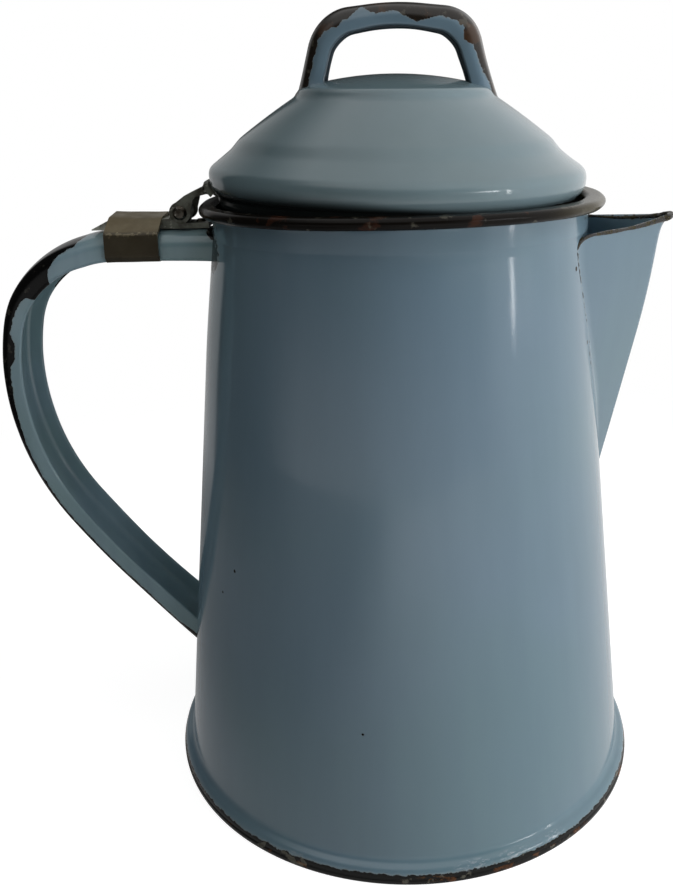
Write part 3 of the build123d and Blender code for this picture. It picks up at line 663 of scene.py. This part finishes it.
t = np.linspace(0, 1, spout["columns"] + 1)
t = t - spout["columnShift"] * np.sin(4 * math.pi * t) / 2  # closer columns at the seams and the nose
v = np.linspace(0, 1, spout["rows"])[:, None] ** 0.9
foot = spout["apex"] + 0.6
spoutGrid = spoutSection(t[None] + 0 * v, foot + (spoutTop(t)[None] - foot) * v)
spoutGrid = uneven(spoutGrid, 8, spout, np.array([0.7, 0.7, 0]) * v[..., None])
spoutGrid[..., 0] += settled(spoutGrid)[..., 0]
closedSpout, spoutNormal = withWall(spoutGrid, spout["sheet"])
x, y, z = np.moveaxis(closedSpout, -1, 0)
offWallBy = np.hypot(x - settled(closedSpout)[..., 0], y) - wallRadius(z)
# Worn where the sheet meets the wall
seamWear = np.clip(spout["seamWorn"] - np.abs(offWallBy - 0.08) * 1.5, 0, None)
seamWear = seamWear * (np.abs(y) > 2) * smooth(z, *spout["seamWornFrom"])
makePiece("spoutSheet", "strip", closedSpout, "pot", "body_enamel", ["spout_shell"], bodyEnamel, 60,
          wear=np.maximum(seamWear, spout["topWorn"] * smooth(z, *spout["topWornFrom"])))

edgeLine = spoutGrid[-1] - spoutNormal[-1] * spout["sheet"] / 2
a = np.linspace(0, 2 * math.pi, 12, endpoint=False)[:, None]
tangent = np.gradient(edgeLine, axis=0)
tangent /= np.linalg.norm(tangent, axis=1)[:, None]
outDir = spoutNormal[-1][:, None]
upDir = np.cross(tangent, spoutNormal[-1])[:, None]
toTip = np.clip(1 - np.abs(2 * t - 1) / spout["edgeTipShare"], 0, 1)
thickness = spout["edgeRadius"] + (spout["tipRadius"] - spout["edgeRadius"]) * toTip
thickness = thickness * np.clip(np.minimum(t, 1 - t) / 0.02, 0.35, 1) + 0.05 * np.sin(40 * t)
tube = edgeLine[:, None] + thickness[:, None, None] * (np.cos(a) * outDir + np.sin(a) * upDir)
makePiece("spoutEdge", "strip", tube, "pot", "body_enamel", [], rimEnamel, wear=0.5 + 0 * tube[..., 0])
print("spout made")


# Handle: a crowned channel bent from the rim round to the lower wall

handle = dict(
    start=(-45.0, 150.6), bends=[(28.2,), (31.6, 75.7), (69.0, 50.0), (341.0, 8.9)], halfWidth=8.5, depth=6.8,
    crownDrop=1.8, cornerRadius=3.2, crownRadius=24.0, sheet=1.0, sink=0.75, waves=0.10, waveLength=38,
    # what changes along the strap: the distances in millimetres, then the values there
    depthAlong=([0, 25, 50, 70, 150, 190], [1.02, 0.96, 0.93, 0.88, 0.87, 0.98]),
    widthAlong=([0, 2.6, 6, 160, 174, 200], [1.10, 1.03, 1, 1, 1.03, 1.08]),
    inwardsAlong=([0, 26, 36, 50, 62, 80, 100, 190], [0.45, 0.5, 1.0, 0.6, 0.15, 0.15, 0.45, 0.5]),
    bareAlong=([1, 3, 5, 31, 37, 43, 47.5, 50.5, 56.5, 58.5, 63, 71, 74, 78, 81, 99, 103, 171, 177, 183],
               [2.6, 0.6, -2, -1, 2.4, 3.2, 5.0, 9, 9, 4.6, 3.9, 3.6, 5.0, 5.0, 3.7, 3.4, 3.0, 2.8, 3.4,
                4.6]),
    bareBlend=2.4,
)


def channel(look):
    # A closed channel section (across, out): crown at zero, flanges down, open along the bottom.
    # Each face is a crowned line on two upright sides, and half circles close the flanges' ends.
    # Beside it: 1 on the outer face, 0.6 on the ends and 0 inside.
    sheet, drop = look["sheet"], look["crownDrop"]

    def face(inset):
        wide, big = look["halfWidth"] - inset, look["crownRadius"] - inset
        small = max(look["cornerRadius"] - inset, 0.4)
        peak = big * (1 / math.cos(math.atan(drop / wide)) - 1) - inset
        corners = [(-wide, -look["depth"]), (-wide, peak - drop), (0, peak), (wide, peak - drop),
                   (wide, -look["depth"])]
        return refined(rounded(corners, [0, small, big, small, 0], 0.35), 0.7)

    lip = np.linspace(0, math.pi, 7)[1:-1, None]
    lip = sheet / 2 * np.hstack([np.cos(lip), -np.sin(lip)]) + [look["halfWidth"] - sheet / 2, -look["depth"]]
    outer, inner = face(0), face(sheet)
    loop = np.vstack([outer, lip, inner[::-1], lip[::-1] * [-1, 1]])
    return loop, np.repeat([1, 0.6, 0, 0.6], [len(outer), len(lip), len(inner), len(lip)])


def offWall(points, sink):
    # Nothing goes deeper into the pot's wall than the sink: nearer points are moved out to it.
    shift = settled(points)[..., 0]
    x, y, z = points[..., 0] - shift, points[..., 1], points[..., 2]
    r = np.hypot(x, y)
    grow = np.maximum(r, wallRadius(z) - sink) / np.clip(r, 1e-6, None)
    return xyz(x * grow + shift, y * grow, z)


def runOf(path):
    # The distance along a path at each of its points.
    return np.r_[0, np.cumsum(np.linalg.norm(np.diff(path, axis=0), axis=1))]


def strapWear(run, sections, outside, look):
    # Bare metal on a strap's outer skin, to a depth in from its crown that changes along the strap:
    # 0.5 where the point lies just that deep, more nearer the crown, over the blend's length.
    bare = np.interp(run, *look["bareAlong"])[:, None]
    return np.clip(0.5 + (bare + sections[..., 1]) / look["bareBlend"], 0, 1) * (outside[None] > 0.5)


handlePath = walk(handle["start"], 180, handle["bends"], 0.9)[0]
handleRun = runOf(handlePath)
section, outside = channel(handle)
depthShare, widthShare, inwards = (np.interp(handleRun, *handle[key])[:, None]
                                   for key in ("depthAlong", "widthAlong", "inwardsAlong"))
sections = np.stack([section[:, 0] * widthShare, section[:, 1] * depthShare - inwards], -1)
handleGrid = offWall(carried(handlePath, sections, -1), handle["sink"])
handleGrid = uneven(handleGrid, 21, handle, [0.6, 0.8, 0.6])
makePiece("handleStrap", "strip", handleGrid, "pot", "body_enamel", ["handle_strap"], handleEnamelPaintedLight,
          wear=strapWear(handleRun, sections, outside, handle))
print("handle made")


# Band: thin metal lapped round the handle over the hinge strap's tail

band = dict(
    startX=-59.2, length=13.6, sheet=0.8, columns=46, spread=(1.02, 1.03), middle=148.0, lift=0.1,
    corners=[(-8.6, 143.0), (-9.9, 144.4), (-9.3, 150.0), (-3.0, 153.1), (5.0, 153.8), (8.3, 151.6),
             (9.7, 149.0), (9.7, 144.2), (8.6, 143.0)],
    radii=[0.5, 0.7, 0.8, 5.0, 2.0, 2.2, 3.0, 0.7, 0.5], nearFold=(-9.3, 150.1), farFold=(8.3, 151.4),
    # painted shade on the band's near face: where it begins and ends across, and its strength
    sootSpan=(8.3, 9.1), soot=0.7, waves=0.10, waveLength=9,
)


def insetLoop(loop, by):
    # A closed line moved sideways: each point goes along the normal of its two neighbours' chord.
    step = np.roll(loop, -1, axis=-2) - np.roll(loop, 1, axis=-2)
    step /= np.linalg.norm(step, axis=-1)[..., None]
    return loop + by * np.stack([-step[..., 1], step[..., 0]], -1)


ringOne = refined(rounded(band["corners"], band["radii"], 0.3, True), 0.5, True)
ringTwo = (ringOne - [0, band["middle"]]) * band["spread"] + [0, band["middle"] + band["lift"]]
share = np.linspace(0, 1, band["columns"])[:, None, None]
outerBand = ringOne[None] * (1 - share) + ringTwo[None] * share
innerBand = insetLoop(outerBand, -band["sheet"])
x = band["startX"] - band["length"] * share[..., 0]
outerBand = uneven(xyz(x, outerBand[..., 0], outerBand[..., 1]), 5, band, [0, 0.7, 0.7])
innerBand = xyz(x, innerBand[..., 0], innerBand[..., 1])
# Bright metal along both folds is a painted highlight as well as rubbed wear; the band's ends are worn.
nearFold = np.hypot(*np.moveaxis(outerBand[..., 1:] - band["nearFold"], -1, 0)) / 1.1
farFold = np.hypot(*np.moveaxis(outerBand[..., 1:] - band["farFold"], -1, 0)) / 1.3
ends = np.minimum(np.abs(x - band["startX"]), np.abs(x - band["startX"] + band["length"]))
foldHighlightAndWear = np.maximum(np.maximum(0.60 - 0.25 * nearFold, 0.42 - 0.25 * farFold), 0.34 - 0.5 * ends)
shell = np.concatenate([outerBand, innerBand[::-1]], axis=0)
# The band's near face gets painted shade, darker than its top.
makePiece("bandPiece", "ring", shell, "pot", "aged_metal", ["sleeve_band"], bandMetal,
          wear=np.concatenate([foldHighlightAndWear, foldHighlightAndWear[::-1]], axis=0),
          soot=band["soot"] * smooth(-shell[..., 1], *band["sootSpan"]))
print("band made")


# Lid: bulge, groove, dome and raised cap, hung a little high at the hinge

lid = dict(
    tilt=1.5, shift=-0.2, lift=0.2, bulgeShift=0.6, bulgeFade=(1, 5), flangeRadius=44.4, flangeLength=3.0,
    flangeDraft=0.5, rootRadius=1.5, rootAngle=51.0, bulgeRadius=3.6, skirt=0.8, bulgeAngle=103.0, brow=5.1,
    grooveRadius=8.0, grooveAngle=11.0, riser=1.7, edgeRadius=8.0, edgeAngle=12.0, domeRadius=190.0,
    domeAngle=4.5, coveRadius=4.0, coveAngle=30.0, shoulderRadius=2.4, shoulderAngle=47.0, sheet=1.0,
    seatGap=0.3, segments=320, waves=0.12, waveLength=70,
    # painted shade under the bulge: where the left begins, its strength, the levels it fades between and how
    # much higher they lie on the left
    bareBelow=-3.2, sootLeft=(-28, 24), soot=0.96, sootFrom=-3.6, sootTo=-2.8, sootRises=(1.4, 4.4),
)
rootTurn, lidTilt = math.radians(lid["rootAngle"]), math.radians(lid["tilt"])
rootDrop = (lid["rootRadius"] + lid["bulgeRadius"]) * math.sin(rootTurn)
rootOut = (lid["rootRadius"] + lid["bulgeRadius"]) * (1 - math.cos(rootTurn))
bulgeMiddle = lid["flangeRadius"] + rootOut - lid["bulgeRadius"]
tiltCos, tiltSin = math.cos(lidTilt), math.sin(lidTilt)
seatReach = lid["bulgeRadius"] + body["rimHalfHeight"] + lid["seatGap"]
seatRise = math.sqrt(seatReach**2 - (body["ringRadius"] - rollEdge - bulgeMiddle * tiltCos) ** 2)
lidZ = body["rimHeight"] + seatRise + bulgeMiddle * tiltSin + lid["lift"]
lidAt = (lid["shift"], 0, lidZ)


def lidLine(inset):
    # From the flange's foot in to the axis: the cap's last arc ends level there.
    k = inset
    moves = [(lid["flangeLength"],), (lid["rootRadius"] + k, -lid["rootAngle"]),
             (lid["bulgeRadius"] - k, lid["rootAngle"]), (lid["skirt"],),
             (lid["bulgeRadius"] - k, lid["bulgeAngle"] - lid["rootAngle"]),
             (lid["brow"],), (lid["grooveRadius"] + k, -lid["grooveAngle"]), (lid["riser"],),
             (lid["edgeRadius"] - k, lid["edgeAngle"]), (lid["domeRadius"] - k, lid["domeAngle"]),
             (lid["coveRadius"] + k, -lid["coveAngle"]), (lid["shoulderRadius"] - k, lid["shoulderAngle"])]
    line, heading = walk((lid["flangeRadius"] - k, -rootDrop - lid["flangeLength"]), 90, moves, 0.5)
    slope = 180 - heading
    cap = walk(line[-1], heading, [(line[-1, 0] / math.sin(math.radians(slope)), slope)], 0.8)[0]
    cap[-1, 0] = 0
    line = np.vstack([line, cap[1:]])
    line[:, 0] -= lid["flangeDraft"] * smooth(-rootDrop - line[:, 1], 0, lid["flangeLength"])
    return line


def onLid(x, y, h):
    # A place on the lid's own level (x along, y across, h up) in the pot's frame.
    return xyz(tiltCos * x + tiltSin * h, y, tiltCos * h - tiltSin * x) + lidAt


lidOuter, lidInner = lidLine(0), lidLine(lid["sheet"])
lidProfile = np.vstack([lidOuter[::-1], refined(np.vstack([lidOuter[0], lidInner[0]]), 0.34)[1:-1], lidInner])
lidGrid = spun(lidProfile, lid["segments"], lidAt, lid["tilt"])
x, y, z = np.moveaxis(lidGrid, -1, 0)  # views, so the grid changes with them
z += ripple(xyz(x, y, 0), 12, lid["waveLength"], lid["waves"]) * np.clip((z - lidZ - 1) / 6, 0, 1)
x += lid["bulgeShift"] * (1 - smooth(z - lidZ, *lid["bulgeFade"]))
# Painted shade: the lid darkens below a level that rises towards the left, under the bulge and down to the
# flange.
toLeft = 1 - smooth(x, *lid["sootLeft"])
level = z - lidZ + math.tan(lidTilt) * x
sootEnds = (lid["sootFrom"] + lid["sootRises"][0] * toLeft, lid["sootTo"] + lid["sootRises"][1] * toLeft)
makePiece("lidShell", "bowl", lidGrid, "lid", "lid_enamel", ["lid_shell"], lidEnamel,
          wear=np.clip((lidZ + lid["bareBelow"] - z) / 2.5, 0, 0.8),
          soot=lid["soot"] * (1 - smooth(level, *sootEnds)))

collar = dict(sheet=0.8, length=8.5, curl=1.4, worn=1.6, segments=256)
collarRadius = lid["flangeRadius"] - lid["sheet"] - lid["flangeDraft"]
collarLines = []
for inset in (0, collar["sheet"]):
    moves = [(collar["length"] - collar["curl"],), (collar["curl"] - inset, -90)]
    collarLines.append(walk((collarRadius - inset, -rootDrop), -90, moves, 0.3)[0])
collarLine = np.vstack([collarLines[0], collarLines[1][::-1]])
collarRing = spun(collarLine, collar["segments"], lidAt, lid["tilt"])
collarRing[..., 0] += lid["bulgeShift"]
fromFoot = collarRing[..., 2] - (lidZ - rootDrop - collar["length"])
makePiece("lidCollar", "ring", collarRing, "lid", "lid_enamel", ["lid_collar"], lidEnamel,
          wear=np.clip(1 - fromFoot / collar["worn"], 0, 0.62))
print("lid made")


# Knob: a small channel strap bent into an arch, its legs flowing into the lid

knob = dict(
    halfWidth=7.0, depth=5.0, crownDrop=1.9, cornerRadius=3.4, crownRadius=18.0, sheet=1.0, leftBase=24.2,
    rightBase=26.6, halfTop=18.7, rise=15.8, arch=2.2, bendRadius=11.2, archRadius=60.0, root=10.0,
    flareHeight=2.3, flareWide=0.16, flareDeep=0.20, shift=-0.4, bendDepth=0.66, bendReach=8.5,
    lift=0.4, lean=0.014, liftSpan=(2, 11), sink=0.5, soot=0.55, waves=0.10, waveLength=16,
    # how far in from the crown it is bare, at shares of its run
    bareAlong=([0, 0.05, 0.12, 0.26, 0.31, 0.36, 0.40, 0.44, 0.5, 0.56, 0.60, 0.66, 0.72, 0.755, 0.79, 0.86,
                0.93, 1],
               [0.6, 2.0, 2.2, 2.5, 3.9, 2.7, 0.9, 2.6, 2.4, 4.4, 3.2, 2.8, 3.0, 4.3, 2.6, 1.8, 1.4, -1]),
    bareBlend=2.0,
)
capTop = lidOuter[-1, 1]
knobTop = capTop + knob["rise"]
knobCorners = [(-knob["leftBase"], capTop - knob["root"]), (-knob["halfTop"], knobTop - knob["arch"]),
               (0, knobTop), (knob["halfTop"], knobTop - knob["arch"]),
               (knob["rightBase"], capTop - knob["root"])]
knobRadii = [0, knob["bendRadius"], knob["archRadius"], knob["bendRadius"], 0]
knobPath = refined(rounded(knobCorners, knobRadii, 0.5), 0.6)
knobRun = runOf(knobPath)
section, outside = channel(knob)
surface = np.interp(np.abs(knobPath[:, 0]), lidOuter[::-1, 0], lidOuter[::-1, 1])
flareBy = np.exp(-np.clip(knobPath[:, 1] - surface, 0, None) / knob["flareHeight"])[:, None]
bendBy = 0 * flareBy
for corner in (knobCorners[1], knobCorners[3]):
    cornerRun = knobRun[np.argmin(np.linalg.norm(knobPath - corner, axis=1))]
    bendBy = bendBy + np.exp(-((knobRun - cornerRun) / knob["bendReach"]) ** 2)[:, None]
deeper = 1 + knob["flareDeep"] * flareBy + knob["bendDepth"] / knob["depth"] * bendBy
wider = 1 + knob["flareWide"] * flareBy
sections = np.stack([section[:, 0] * wider, section[:, 1] * deeper + 0.2 * flareBy], -1)
local = carried(knobPath, sections, 1)
x, y, z = np.moveaxis(local, -1, 0)
z = z + smooth(z - capTop, *knob["liftSpan"]) * (knob["lift"] + knob["lean"] * x)
z = np.maximum(z, np.interp(np.hypot(x, y), lidOuter[::-1, 0], lidOuter[::-1, 1]) - knob["sink"])
knobGrid = uneven(onLid(x + knob["shift"], y, z), 31, knob, [0.6, 0.8, 0.6])
# The channel's inside and its edges get painted shade.
makePiece("lidKnob", "strip", knobGrid, "lid", "lid_enamel", ["lid_knob"], knobEnamel,
          wear=strapWear(knobRun / knobRun[-1], sections, outside, knob),
          soot=knob["soot"] * (outside < 0.9) + 0 * z)
print("knob made")


# Hinge: the strap folded round the pin, the lid's arm and the rivets

hingeCopies = [
    copyOf("hinge_strap", "hingeStrap", "pot", hingeMetal, 0.22),
    copyOf("hinge_arm", "hingeArm", "lid", hingeMetal, 0.22),
    copyOf("hinge_pin", "hingePin", "pot", rivetMetal, 0.25),
    copyOf("base_rivet", "baseRivet", "pot", rivetMetal, 0.3),
    copyOf("arm_rivets", "armRivets", "lid", rivetMetal, 0.3),
]
hingeWear = dict(level=0.34, waves=0.12, waveLength=3.5, tail=0.5, tailHighlightSpan=(71, 74))
armPlate = dict(
    lowAngle=-84.0, highAngle=-2.0, halfWidth=8.6, inner=-0.5, outer=0.85, edge=0.25, rounding=0.35,
    wear=0.12,
)


def platePoints(a, swing, out):
    # Round the lid's bulge: its middle plus (radius + out) at each angle a, swung about the lid's axis.
    r = bulgeMiddle + (lid["bulgeRadius"] + out) * np.cos(a)
    h = (lid["bulgeRadius"] + out) * np.sin(a)
    return onLid(-r * np.cos(swing), r * np.sin(swing), h) + [lid["bulgeShift"], 0, 0]


plateReach = bulgeMiddle + lid["bulgeRadius"]
a = np.radians(np.linspace(armPlate["lowAngle"], armPlate["highAngle"], 40))
swing = np.linspace(-1, 1, 28)[:, None] * armPlate["halfWidth"] / plateReach
fromEnd = np.minimum(a - a[0], a[-1] - a) * lid["bulgeRadius"]
fromSide = armPlate["halfWidth"] - np.abs(swing) * plateReach
rounding = np.exp(-fromEnd / armPlate["rounding"]) + np.exp(-fromSide / armPlate["rounding"])
outerPlate = platePoints(a, swing, armPlate["outer"] - armPlate["edge"] * rounding)
innerPlate = platePoints(a, swing, armPlate["inner"])
plateGrid = np.concatenate([outerPlate, innerPlate[:, ::-1]], axis=1)
makePiece("hingePlate", "strip", plateGrid, "lid", "aged_metal", [], hingeMetal,
          wear=armPlate["wear"] + 0 * plateGrid[..., 0])
for piece in hingeCopies:
    at = pointsOf(piece)
    # The strap's tail past the band is painted brighter: a painted highlight on its worn metal.
    tail = hingeWear["tail"] * smooth(-at[:, 0], *hingeWear["tailHighlightSpan"])
    wear = hingeWear["level"] + ripple(at, 44, hingeWear["waveLength"], hingeWear["waves"]) + tail
    setLayer(piece.data, "wear", wear)
print("hinge made")


# Stage: pale floor, white surroundings, soft lamps and the camera

floorLook = dict(
    size=4, whiteSpan=(0.14, 0.34), paleTone=0.42, paleGlow=0.89, litTone=0.5,
    mirrorSpan=(0.08, 0.42, 0.75, 0.95), leftSpan=(-0.14, 0.06, 0.25, 1),
)


def grey(tree, kind, tone, **more):
    # One of Blender's own shaders or glows in a plain grey.
    return node(tree, kind, Color=(tone, tone, tone, 1), **more).outputs[0]


def shaders(tree, share, first, second):
    # first * (1 - share) + second * share, for two shaders.
    return node(tree, "MixShader", i0=share, i1=first, i2=second)


def whiteFor(tree):
    # 1 for what the camera sees straight on, in a mirror or through glass, and 0 for light.
    path = node(tree, "LightPath")
    seen = sums(tree, "MAXIMUM", path.outputs["Is Camera Ray"], path.outputs["Is Glossy Ray"])
    return sums(tree, "MAXIMUM", seen, path.outputs["Is Transmission Ray"])


def floorShade(tree, where):
    # To the camera a pale tone that takes shadows near the pot and white further off, in the enamel's
    # mirror a pale tone that falls to the left, and to light a middle grey.
    far = node(tree, "VectorMath", {"operation": "LENGTH"}, i0=where).outputs["Value"]
    pale = grey(tree, "BsdfDiffuse", floorLook["paleTone"], Roughness=0.0)
    near = node(tree, "AddShader", i0=pale, i1=grey(tree, "Emission", 1, Strength=floorLook["paleGlow"]))
    white = grey(tree, "Emission", 1, Strength=1.0)
    seen = shaders(tree, span(tree, far, *floorLook["whiteSpan"]), near.outputs[0], white)
    level = times(tree, span(tree, alongX(tree, where), *floorLook["leftSpan"]),
                  span(tree, far, *floorLook["mirrorSpan"]))
    lit = grey(tree, "BsdfDiffuse", floorLook["litTone"], Roughness=0.0)
    others = shaders(tree, whiteFor(tree), lit, grey(tree, "Emission", 1, Strength=level))
    return shaders(tree, node(tree, "LightPath").outputs["Is Camera Ray"], others.outputs[0], seen.outputs[0])


floorMesh = bpy.data.meshes.new("floor")
floorMesh.from_pydata([(x * floorLook["size"], y * floorLook["size"], 0)
                       for x, y in ((-1, -1), (1, -1), (1, 1), (-1, 1))], [], [(0, 1, 2, 3)])
floorMesh.materials.append(makeMaterial("paleFloor", floorShade))
place("floor", floorMesh)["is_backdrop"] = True


def cardShade(tree, where):
    # Transparent * (1 - cover) + a glow of the card's level * cover.
    glow = grey(tree, "Emission", 1, Strength=layerOf(tree, "level"))
    return shaders(tree, layerOf(tree, "cover"), grey(tree, "BsdfTransparent", 1), glow)


def softCard(name, look):
    # An upright curved sheet round the pot that the camera never sees: radius * (sin a, -cos a) from
    # one angle to another. It has one level above, takes the floor's tone below and thins out to
    # nothing at its top and both ends, so that it leaves no edge in the enamel.
    a = np.radians(np.linspace(look["fromAngle"], look["toAngle"], 61))[None]
    z = np.linspace(0, look["height"], 25)[:, None]
    points = xyz(look["radius"] * np.sin(a), -look["radius"] * np.cos(a), z)
    index = np.arange(points[..., 0].size).reshape(points.shape[:2])
    mesh = bpy.data.meshes.new(name)
    mesh.from_pydata(points.reshape(-1, 3).tolist(), [], quads(index.T).tolist())
    fromEnd = np.degrees(np.minimum(a - a[0, 0], a[0, -1] - a))
    setLayer(mesh, "cover", smooth(fromEnd, 0, look["endFade"]) * (1 - smooth(z / look["height"], 0.5, 1)))
    low = (look["lowLevel"] - look["level"]) * (1 - smooth(z, 0, look["fadeTo"]))
    setLayer(mesh, "level", look["level"] + low + 0 * a)
    mesh.materials.append(makeMaterial(name, cardShade))
    card = place(name, mesh)
    card.visible_camera = False
    card.visible_shadow = False
    card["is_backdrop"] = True


cards = dict(
    frontCard=dict(fromAngle=-85, toAngle=60, radius=0.55, height=0.7, endFade=22, fadeTo=0.19,
                   lowLevel=0.62, level=0.02),
    leftCard=dict(fromAngle=-215, toAngle=-42, radius=0.23, height=0.62, endFade=34, fadeTo=0.06,
                  lowLevel=0.2, level=0.03),
    paleCard=dict(fromAngle=-157, toAngle=-113, radius=0.21, height=0.4, endFade=5, fadeTo=0.04,
                  lowLevel=0.2, level=0.42),
)
for name, look in cards.items():
    softCard(name, look)

world = bpy.data.worlds.new("surroundings")
scene.world = world
world.use_nodes = True
tree = world.node_tree
tree.nodes.clear()
dim = node(tree, "Background", Color=(0.95, 1, 0.98, 1), Strength=0.10).outputs[0]
white = grey(tree, "Background", 1, Strength=1.0)
node(tree, "OutputWorld", Surface=shaders(tree, whiteFor(tree), dim, white).outputs[0])

coolWhite, coolerWhite, greenWhite = (0.97, 0.98, 1.0), (0.97, 0.97, 1.0), (0.98, 1.0, 0.98)
lamps = dict(
    # azimuth from the camera's side to the right, elevation, distance, width, height, watts, colour,
    # and whether the enamel mirrors it
    keyWindow=(80, 40, 1.1, 0.5, 0.5, 4.1, coolWhite, False),
    sideWindow=(45, 7, 1.1, 0.55, 0.12, 2.5, coolerWhite, True),
    lowWindow=(76, -2, 1.1, 0.2, 0.16, 4.9, coolerWhite, False),
    backWindow=(130, 12, 1.1, 0.35, 0.35, 0.9, coolerWhite, False),
    stripWindow=(66, 3, 1.1, 0.025, 0.3, 0.35, (1.0, 1.0, 1.0), True),
    faintWindow=(24, 3, 1.1, 0.02, 0.3, 0.05, (1.0, 1.0, 1.0), True),
    topSoft=(20, 78, 1.1, 0.5, 0.5, 0.9, (0.98, 1.0, 0.97), False),
    leftSoft=(-50, 55, 1.0, 0.5, 0.5, 1.1, greenWhite, False),
    backSoft=(-160, 40, 1.1, 0.6, 0.6, 1.6, greenWhite, False),
    frontFill=(-20, 20, 0.8, 0.5, 0.5, 0.9, (0.97, 1.0, 0.98), False),
    leftGlint=(-66, 6, 0.9, 0.06, 0.02, 0.012, (1.0, 1.0, 1.0), True),
    frontGlint=(-8, 8, 0.9, 0.05, 0.02, 0.02, (1.0, 1.0, 1.0), True),
)
lampsAim = Vector((0, 0, 0.13))
for name, (azimuth, elevation, distance, width, height, watts, colour, mirrored) in lamps.items():
    lamp = bpy.data.lights.new(name, "AREA")
    lamp.shape, lamp.size, lamp.size_y, lamp.energy, lamp.color = "RECTANGLE", width, height, watts, colour
    a, e = math.radians(azimuth), math.radians(elevation)
    away = Vector((math.sin(a) * math.cos(e), -math.cos(a) * math.cos(e), math.sin(e)))
    holder = place(name, lamp)
    holder.location = lampsAim + away * distance
    holder.rotation_mode = "QUATERNION"
    holder.rotation_quaternion = (-away).to_track_quat("-Z", "Y")
    holder.visible_glossy = mirrored

view = dict(
    at=(0, -0.24267, 0.18432), forward=(-0.05032, 0.93743, -0.34453), side=(0.99864, 0.04257, -0.03003),
    focus=939.83, middle=(350.67, 425.56), frame=(673, 886), sensor=36,
)
forward, side = Vector(view["forward"]).normalized(), Vector(view["side"]).normalized()
wide, high = view["frame"]
lens = bpy.data.cameras.new("camera")
lens.sensor_width = view["sensor"]
lens.lens = view["focus"] * view["sensor"] / high
lens.shift_x = (wide / 2 - view["middle"][0]) / high
lens.shift_y = (view["middle"][1] - high / 2) / high
lens.clip_start = 0.01
camera = place("camera", lens)
turned = Matrix((side, side.cross(forward), -forward)).transposed().to_4x4()
camera.matrix_world = Matrix.Translation(view["at"]) @ turned
scene.camera = camera
scene.view_settings.view_transform = "Standard"

low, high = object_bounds()
print("stage made")
